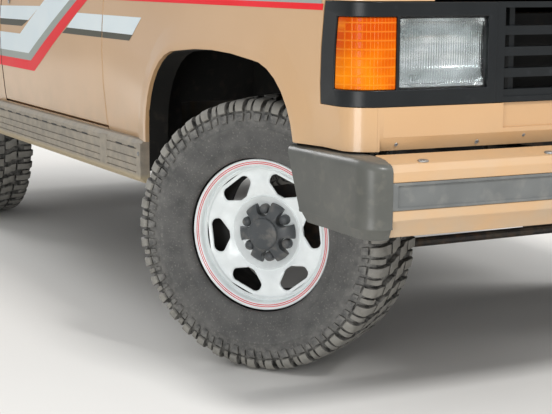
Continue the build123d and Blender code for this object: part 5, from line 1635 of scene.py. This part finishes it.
def handle_mesh(side):
    """Plate, lever and lock of one door."""
    bm = bmesh.new()
    middle_aft, middle_z = 1.975, 1.070
    tilt = (side_x(1.090) - side_x(1.050)) / 0.040

    def at(a, b, out):
        """Point of the handle: a aft, b up, out from the body."""
        return Vector(
            (side * (side_x(middle_z) + tilt * b + out), front_axle_y + middle_aft + a, middle_z + b),
        )

    plate(bm, rounded_box((-0.078, 0.078), (-0.022, 0.022), 0.010), at, 0.004, -0.001)
    lever = [at(0.066 * share, 0.004, 0.006 + 0.013 * (1 - share ** 4)) for share in bow_shares]
    bar(bm, lever, [0.0085] * len(lever), flat=0.45, finish=1)
    lock = [at(0.0, -0.048, out) for out in (-0.001, 0.003, 0.0045)]
    bar(bm, lock, (0.0105, 0.0105, 0.0085), sides=20, finish=1)
    return mesh_from("door_handle", bm, (charcoal_plastic, bright_steel), 35)


for side, side_name in both_sides:
    show_mesh("door_handle_" + side_name, handle_mesh(side), "door_" + side_name)
print("door handles set")

# %% [markdown]
# Inside, a door is closed by a trim panel of brown plastic with an armrest and a window crank. The panel is
# 4 mm thick and stands 8 mm off the inner wall on its clips, inside the opening that the door closes.

# %% Door trim panels
def door_trim_mesh(side):
    """Panel, armrest and window crank on the inside of one door."""
    bm = bmesh.new()
    inner_x = 0.9155
    crank_aft, crank_z = 1.300, 0.890

    def at(aft, z, proud):
        """Point on the inner wall, proud of it toward the seat."""
        lean = min(0.0, side_x(z) - side_x(side_widest_z))
        return Vector((side * (inner_x + lean - proud), front_axle_y + aft, z))

    plate(bm, rounded_box((0.955, 2.045), (0.660, 1.120), 0.03), at, 0.012, 0.008)
    rest_shares = [k / 12 for k in range(13)]
    rest = [at(1.400 + 0.45 * share, 0.975, 0.034) for share in rest_shares]
    bar(bm, rest, [0.020 + 0.008 * math.sin(math.pi * share) for share in rest_shares], flat=0.8, sides=14)
    hub = [at(crank_aft, crank_z, proud) for proud in (0.008, 0.030, 0.034)]
    bar(bm, hub, (0.018, 0.016, 0.010), sides=16, finish=1)
    crank = [at(crank_aft + 0.012 * k, crank_z + 0.010 * k, 0.032) for k in range(9)]
    bar(bm, crank, [0.007] * len(crank), flat=0.5, finish=1)
    return mesh_from("door_trim", bm, (cabin_plastic, charcoal_plastic), 35)


for side, side_name in both_sides:
    show_mesh("door_trim_" + side_name, door_trim_mesh(side), "door_" + side_name)
print("door trim set")

# %% [markdown]
# A door mirror is a plastic shell with silvered glass set in its rear face, inside a thin raised rim.
# Silvered glass reflects like bright metal with a thin clear sheet before it, so its finish is a smooth
# metal.

# %% Mirror glasses
mirror_silver = dusty_metal("silvered_mirror_glass", "#DDE3E4", "#D5DCDD", "#C9CFCF", 1.0, 0.03, 0.10, 0.08)
mirror_outline = rounded_box((-0.052, 0.052), (-0.082, 0.082), 0.018)
mirror_rim = (
    # distance in from the glass's edge, height over it
    (-0.004, -0.0005), (-0.004, 0.0030), (-0.001, 0.0040), (0.0015, 0.0030), (0.0015, -0.0005),
)
mirror_x, mirror_aft, mirror_z = 1.060, 1.035, 1.340


def mirror_glass_mesh(side):
    """Silvered glass and its rim, on the rear face of one mirror."""
    def at(a, b, out):
        """Point of the mirror's face: a across, b up, out toward the rear."""
        return Vector((side * mirror_x + a, front_axle_y + mirror_aft + out, mirror_z + b))

    bm = bmesh.new()
    plate(bm, mirror_outline, at, 0.002, -0.001)
    framed(bm, [at(-a, b, 0.0) for a, b in mirror_outline], aft_way, mirror_rim)
    mesh = mesh_from("mirror_glass", bm, (mirror_silver, charcoal_plastic), 40)
    for face in mesh.polygons:
        face.material_index = 0 if len(face.vertices) > 8 else 1
    return mesh


for side, side_name in both_sides:
    show_mesh("mirror_glass_" + side_name, mirror_glass_mesh(side), "door_" + side_name)
print("mirror glasses set")

# %% [markdown]
# The load bed's floor is pressed with long ribs that stiffen it and keep the load out of the wet. They run
# from the front panel to the tailgate, 150 mm apart, with sloping sides and ends. Loads slide on them, so
# their enamel is a little duller and dustier than the rest.

# %% Bed floor ribs
worn_enamel = dusty_metal("tan_enamel_worn_by_loads", "#C49C70", "#BB9368", "#B29573", 0.0, 0.4, 0.6, 0.09)


def bed_mesh():
    """Ribs on the floor, with sloping sides and ends."""
    floor_z, rib_pitch, rib_half = 0.7702, 0.150, 0.030

    def at(a, b, up):
        """Point over the bed's floor: a across, b aft."""
        return (a, front_axle_y + b, floor_z + up)

    bm = bmesh.new()
    for k in range(-4, 5):
        x = k * rib_pitch
        raised_rib(bm, at, (x - rib_half, x + rib_half), (2.330, 3.755), (0.008, 0.008), 0.009)
    return mesh_from("bed_floor_ribs", bm, (worn_enamel,), 20)


ribs = show_mesh("bed_floor_ribs", bed_mesh(), "chassis")
ribs_edge = ribs.modifiers.new("pressed_radius", "BEVEL")
ribs_edge.width = 0.003
ribs_edge.segments = 2
print("bed ribs", len(ribs.data.polygons))

# %% [markdown]
# The tailgate is opened by one handle in its middle, let into the recessed field: a cup plate with a lever.
# Two raised ribs stiffen the field. All of it lies inside the 9 mm recess, so the gate still drops flat.

# %% Tailgate handle and ribs
gate_field_aft = 3.826


def gate_mesh():
    """Handle cup, lever and the two ribs of the tailgate's outer field."""
    def at(a, b, out):
        """Point on the recessed field: a across, b up."""
        return Vector((a, front_axle_y + gate_field_aft + out, b))

    bm = bmesh.new()
    plate(bm, rounded_box((-0.085, 0.085), (1.030, 1.092), 0.012), at, 0.004, -0.0005, finish=1)
    lever = [at(0.070 * share, 1.062, 0.0045 + 0.005 * (1 - share ** 4)) for share in bow_shares]
    bar(bm, lever, [0.011] * len(lever), flat=0.35, finish=2)
    for rib_heights in ((0.868, 0.900), (0.960, 0.992)):
        raised_rib(bm, at, (-0.640, 0.640), rib_heights, (0.008, 0.007), 0.006)
    return mesh_from("tailgate_handle_and_ribs", bm, (tan_enamel, charcoal_plastic, bright_steel), 25)


show_mesh("tailgate_handle_and_ribs", gate_mesh(), "tailgate")
print("tailgate dressed")

# %% [markdown]
# Each tail lamp is a red lens with an amber part above and a clear reversing part below, in a thin black
# frame. The three parts are one moulding, so the frame and two bars across it divide the CAD lens.

# %% Tail lamp frames and parts
clear_acrylic = lamp_plastic("clear_acrylic_prism_lens", "#C9CDC9", "#E2E4E0", "#FFFFFF", prism_sizes)
tail_lens_aft = 3.843
tail_frame_section = (
    # distance in from the lens's edge, height over the lens
    (0.0, -0.0075), (0.0, 0.003), (0.002, 0.004), (0.006, 0.004), (0.008, 0.0002),
)


def tail_lamp_mesh():
    """Frame, dividers and the amber and clear parts over the red lens."""
    bm = bmesh.new()
    for side in (-1, 1):

        def at(a, b, out):
            """Point on the lens: a out from the vehicle's middle, b up."""
            return Vector((side * a, front_axle_y + tail_lens_aft + out, b))

        outline = [at(a, b, 0.0) for a, b in rounded_box((0.7905, 0.9295), (0.8405, 1.0095), 0.006)]
        framed(bm, outline if side < 0 else list(reversed(outline)), aft_way, tail_frame_section)
        for finish, part_heights in ((1, (0.970, 1.002)), (2, (0.848, 0.884))):
            plate(bm, rounded_box((0.798, 0.922), part_heights, 0), at, 0.0015, -0.001, finish=finish)
        for z in (0.967, 0.887):
            bar(bm, [at(a, z, 0.0) for a in (0.796, 0.924)], (0.003, 0.003))
    return mesh_from("tail_lamp_parts", bm, (black_rubber_trim, amber_acrylic, clear_acrylic), 40)


show_mesh("tail_lamp_parts", tail_lamp_mesh(), "chassis")
print("tail lamps dressed")

# %% [markdown]
# The sill cladding clips on through short slots in its top groove, and each slot shows as a dark dash. A
# screw holds its front end. The slots are drawn as thin black plates, 55 mm long, set on the groove's upper
# flank: painted shade for the openings.

# %% Cladding slots and screws
slot_length, slot_pitch = 0.055, 0.110
slot_heights = (0.5713, 0.5757)
slot_starts = [0.600 + slot_pitch * k for k in range(15)]
plain_rib_start, plain_rib_end = 0.83, 0.93


def cladding_details_mesh():
    """Slots drawn dark as painted shade along both claddings, but for the plain upright rib, and a screw at
    each front end.
    """
    bm = bmesh.new()
    for side in (-1, 1):

        def at(a, b, out):
            """Point of the cladding's face: a aft, b up."""
            return Vector((side * (0.9902 + out), front_axle_y + a, b))

        for start in slot_starts:
            end = start + slot_length
            if end <= plain_rib_start or start >= plain_rib_end:
                # Each slot is a flat black plate, painted shade for the opening.
                plate(bm, rounded_box((start, end), slot_heights, 0), at, 0.0, -0.003)
        head = [at(0.562, 0.556, out) for out in (-0.0012, 0.0023, 0.0043)]
        bar(bm, head, (0.0075, 0.0075, 0.0045), sides=16, finish=1)
    return mesh_from("cladding_slots_and_screws", bm, (black_rubber_trim, zinc_steel), 40)


show_mesh("cladding_slots_and_screws", cladding_details_mesh(), "chassis")
print("cladding dressed")

# %% [markdown]
# The dashboard carries a cluster before the driver, with two plain dials, and a glove box lid before the
# passenger. The dials are bare discs, because nothing on them can be read from outside.

# %% Dashboard cluster and glove box
dial_face = baked_enamel("black_enamel_dial_face", "#1C1D1E", "#2A2B2C")
cluster_x, dial_z = 0.380, 1.058


def dash_mesh():
    """Cluster panel, two dials and the glove box lid on the dashboard's rear face."""
    face_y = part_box("dashboard")[1].y

    def at(a, b, out):
        """Point on the dashboard's rear face: a across, b up."""
        return Vector((a, face_y + out, b))

    bm = bmesh.new()
    cluster = rounded(
        [(-0.190, 1.000, 0.03), (0.190, 1.000, 0.03), (0.190, 1.112, 0.04), (-0.190, 1.112, 0.04)],
    )
    plate(bm, [(cluster_x + a, b) for a, b in cluster], at, 0.010, -0.002, finish=1)
    for x in (-0.085, 0.085):
        disc = [at(cluster_x + x, dial_z, out) for out in (0.008, 0.013, 0.0135)]
        bar(bm, disc, (0.046, 0.046, 0.042), sides=28, finish=2)
    plate(bm, rounded_box((-0.560, -0.200), (0.990, 1.060), 0.015), at, 0.006, -0.001)
    return mesh_from("dash_cluster_and_lid", bm, (cabin_plastic, charcoal_plastic, dial_face), 40)


show_mesh("dash_cluster_and_lid", dash_mesh(), "chassis")
print("dashboard dressed")

# %% [markdown]
# The rear bumper is stepped on to reach the bed, so its top has two ribbed rubber pads. Each pad is a plate
# with ribs 12 mm apart, joined into one mesh.

# %% Step pads
bumper_top_z, pad_thickness = 0.6903, 0.003
pad_rib_pitch, pad_rib_count = 0.012, 44


def pads_mesh():
    """Two ribbed pads on the rear bumper's top."""
    bm = bmesh.new()
    for side in (-1, 1):

        def at(a, b, up):
            """Point over the bumper's top: a out from the vehicle's middle, b aft."""
            return Vector((side * a, front_axle_y + b, bumper_top_z + up))

        plate(bm, rounded_box((0.30, 0.86), (3.849, 3.915), 0.006), at, pad_thickness, -0.0005)
        for k in range(pad_rib_count):
            line = [at(0.322 + pad_rib_pitch * k, aft, pad_thickness) for aft in (3.855, 3.909)]
            bar(bm, line, (0.0028, 0.0028), sides=6)
    return mesh_from("bumper_step_pads", bm, (black_rubber_trim,), 30)


show_mesh("bumper_step_pads", pads_mesh(), "chassis")
print("step pads set")

# %% [markdown]
# Rain gutters run over the doors from the windscreen pillars to the back of the cab. A gutter is a folded
# edge of the roof panel, 12 mm wide, painted with it.

# %% Rain gutters
gutter_section = (
    # distance out from the cab's side, height
    (-0.004, -0.005), (0.011, -0.004), (0.012, 0.006), (0.0095, 0.006), (0.0085, -0.001), (-0.004, 0.001),
)
gutter_line = (
    # distance aft, height
    (1.212, 1.800), (1.255, 1.818), (1.330, 1.821), (1.8, 1.821), (2.15, 1.821), (2.185, 1.812),
)
rail_top_z = 1.816


def gutters_mesh():
    """Both gutters, each a small open channel along the roof's rail, turned down at its ends."""
    bm = bmesh.new()
    for side in (-1, 1):
        rows = []
        for aft, z in gutter_line:
            foot = on_cab_side(side, aft, min(z, rail_top_z))
            rows.append([(foot.x + side * out, foot.y, z + up) for out, up in gutter_section])
        solid_of(bm, rows)
    return mesh_from("rain_gutters", bm, (tan_enamel,), 30)


show_mesh("rain_gutters", gutters_mesh(), "chassis")
print("gutters set")

# %% [markdown]
# The bench seat has a cushion and a backrest, both foam under woven cloth, on a plastic skirt. Foam swells
# between its seams, so each stuffed part starts as a rounded block a little under size, is turned to even
# small faces, and is blown up as cloth with slight pressure. The swelling is capped, and the sewn channels
# are pressed in afterwards.

# %% Bench seat
seat_voxel, swelling, swelling_frames = 0.014, 0.012, 20
channel_width, channel_depth = 0.013, 0.012


def rounded_block(low, high, edge):
    """Mesh of a block between two corners, with rounded edges."""
    bm = bmesh.new()
    bmesh.ops.create_cube(bm, size=1)
    size = [b - a for a, b in zip(low, high)]
    middle = [(a + b) / 2 for a, b in zip(low, high)]
    for vertex in bm.verts:
        vertex.co = Vector([m + s * c for m, s, c in zip(middle, size, vertex.co)])
    bmesh.ops.bevel(bm, geom=bm.edges[:], offset=edge, segments=4, profile=0.5, affect="EDGES")
    mesh = bpy.data.meshes.new("cushion_block")
    bm.to_mesh(mesh)
    bm.free()
    return mesh


def applied(piece):
    """The mesh that a piece has after its modifiers."""
    graph = bpy.context.evaluated_depsgraph_get()
    return bpy.data.meshes.new_from_object(piece.evaluated_get(graph))


def swollen(piece, most):
    """Blows a piece up as cloth with slight pressure, and moves its points at most this far."""
    start = [v.co.copy() for v in piece.data.vertices]
    cloth = piece.modifiers.new("foam_under_cloth", "CLOTH")
    cloth.settings.use_pressure = True
    cloth.settings.uniform_pressure_force = 4
    cloth.settings.effector_weights.gravity = 0
    for frame_number in range(1, swelling_frames + 1):
        bpy.context.scene.frame_set(frame_number)
    shape = applied(piece)
    ends = [v.co.copy() for v in shape.vertices]
    piece.modifiers.clear()
    bpy.data.meshes.remove(shape)
    bpy.context.scene.frame_set(1)
    for vertex, first, last in zip(piece.data.vertices, start, ends):
        move = last - first
        vertex.co = first + move * min(1.0, most / max(move.length, 1e-9))


def seat_part(name, low, high, edge, faces_out, channels):
    """One stuffed part between two corners, with channels pressed into the side that faces out."""
    piece = bpy.data.objects.new(name, rounded_block(low, high, edge))
    bpy.context.scene.collection.objects.link(piece)
    even = piece.modifiers.new("even_faces", "REMESH")
    even.mode = "VOXEL"
    even.voxel_size = seat_voxel
    piece.data = applied(piece)
    piece.modifiers.clear()
    swollen(piece, swelling)
    out = Vector(faces_out)
    for vertex, normal in zip(piece.data.vertices, [v.normal.copy() for v in piece.data.vertices]):
        if normal.dot(out) > 0.35:
            near = min(abs(vertex.co.x - place) for place in channels)
            vertex.co -= out * channel_depth * math.exp(-(near / channel_width) ** 2)
    for face in piece.data.polygons:
        face.use_smooth = True
    finer = piece.modifiers.new("finer", "SUBSURF")
    finer.levels = finer.render_levels = 1
    piece.data = applied(piece)
    piece.modifiers.clear()
    piece.data.materials.clear()
    piece.data.materials.append(seat_cloth)
    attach(piece, "chassis")
    return piece


seat_low, seat_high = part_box("bench_seat")
seat_front, seat_back = front_axle_y + 1.480, front_axle_y + 2.110
seat_inset = 0.012
channel_places = [seat_low.x + (seat_high.x - seat_low.x) * k / 8 for k in range(1, 8)]
left_edge, right_edge = seat_high.x - seat_inset, seat_low.x + seat_inset
cushion_rear, backrest_front = front_axle_y + 1.950, front_axle_y + 1.972
cushion = seat_part(
    "seat_cushion", (right_edge, seat_front + seat_inset, 0.893), (left_edge, cushion_rear, 0.998),
    0.030, (0, 0, 1), channel_places,
)
backrest = seat_part(
    "seat_backrest", (right_edge, backrest_front, 0.925), (left_edge, seat_back - seat_inset, 1.468),
    0.035, (0, -1, 0), channel_places,
)
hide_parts("bench_seat")
print("seat faces", len(cushion.data.polygons), len(backrest.data.polygons))

# %% [markdown]
# The skirt is a plain plastic box under the cushion, set in from its edges. It is closed on top, and open
# below, where it stands on the floor.

# %% The seat's skirt
def skirt_mesh():
    """Plastic skirt under the cushion, open below and closed on top."""
    bm = bmesh.new()
    skirt_left, skirt_right = seat_high.x - 0.03, seat_low.x + 0.03
    skirt_front, skirt_rear = seat_front + 0.045, front_axle_y + 2.020
    line = rounded([
        (skirt_right, skirt_front, 0.03), (skirt_left, skirt_front, 0.03),
        (skirt_left, skirt_rear, 0.02), (skirt_right, skirt_rear, 0.02),
    ])
    rows = [[(a, b, z) for a, b in line] for z in (seat_low.z + 0.0005, 0.800, 0.884)]
    made = bridge(bm, rows, closed=True)
    bm.faces.new(made[-1])
    return mesh_from("seat_skirt", bm, (cabin_plastic,), 40)


show_mesh("seat_skirt", skirt_mesh(), "chassis")
print("seat skirt set")
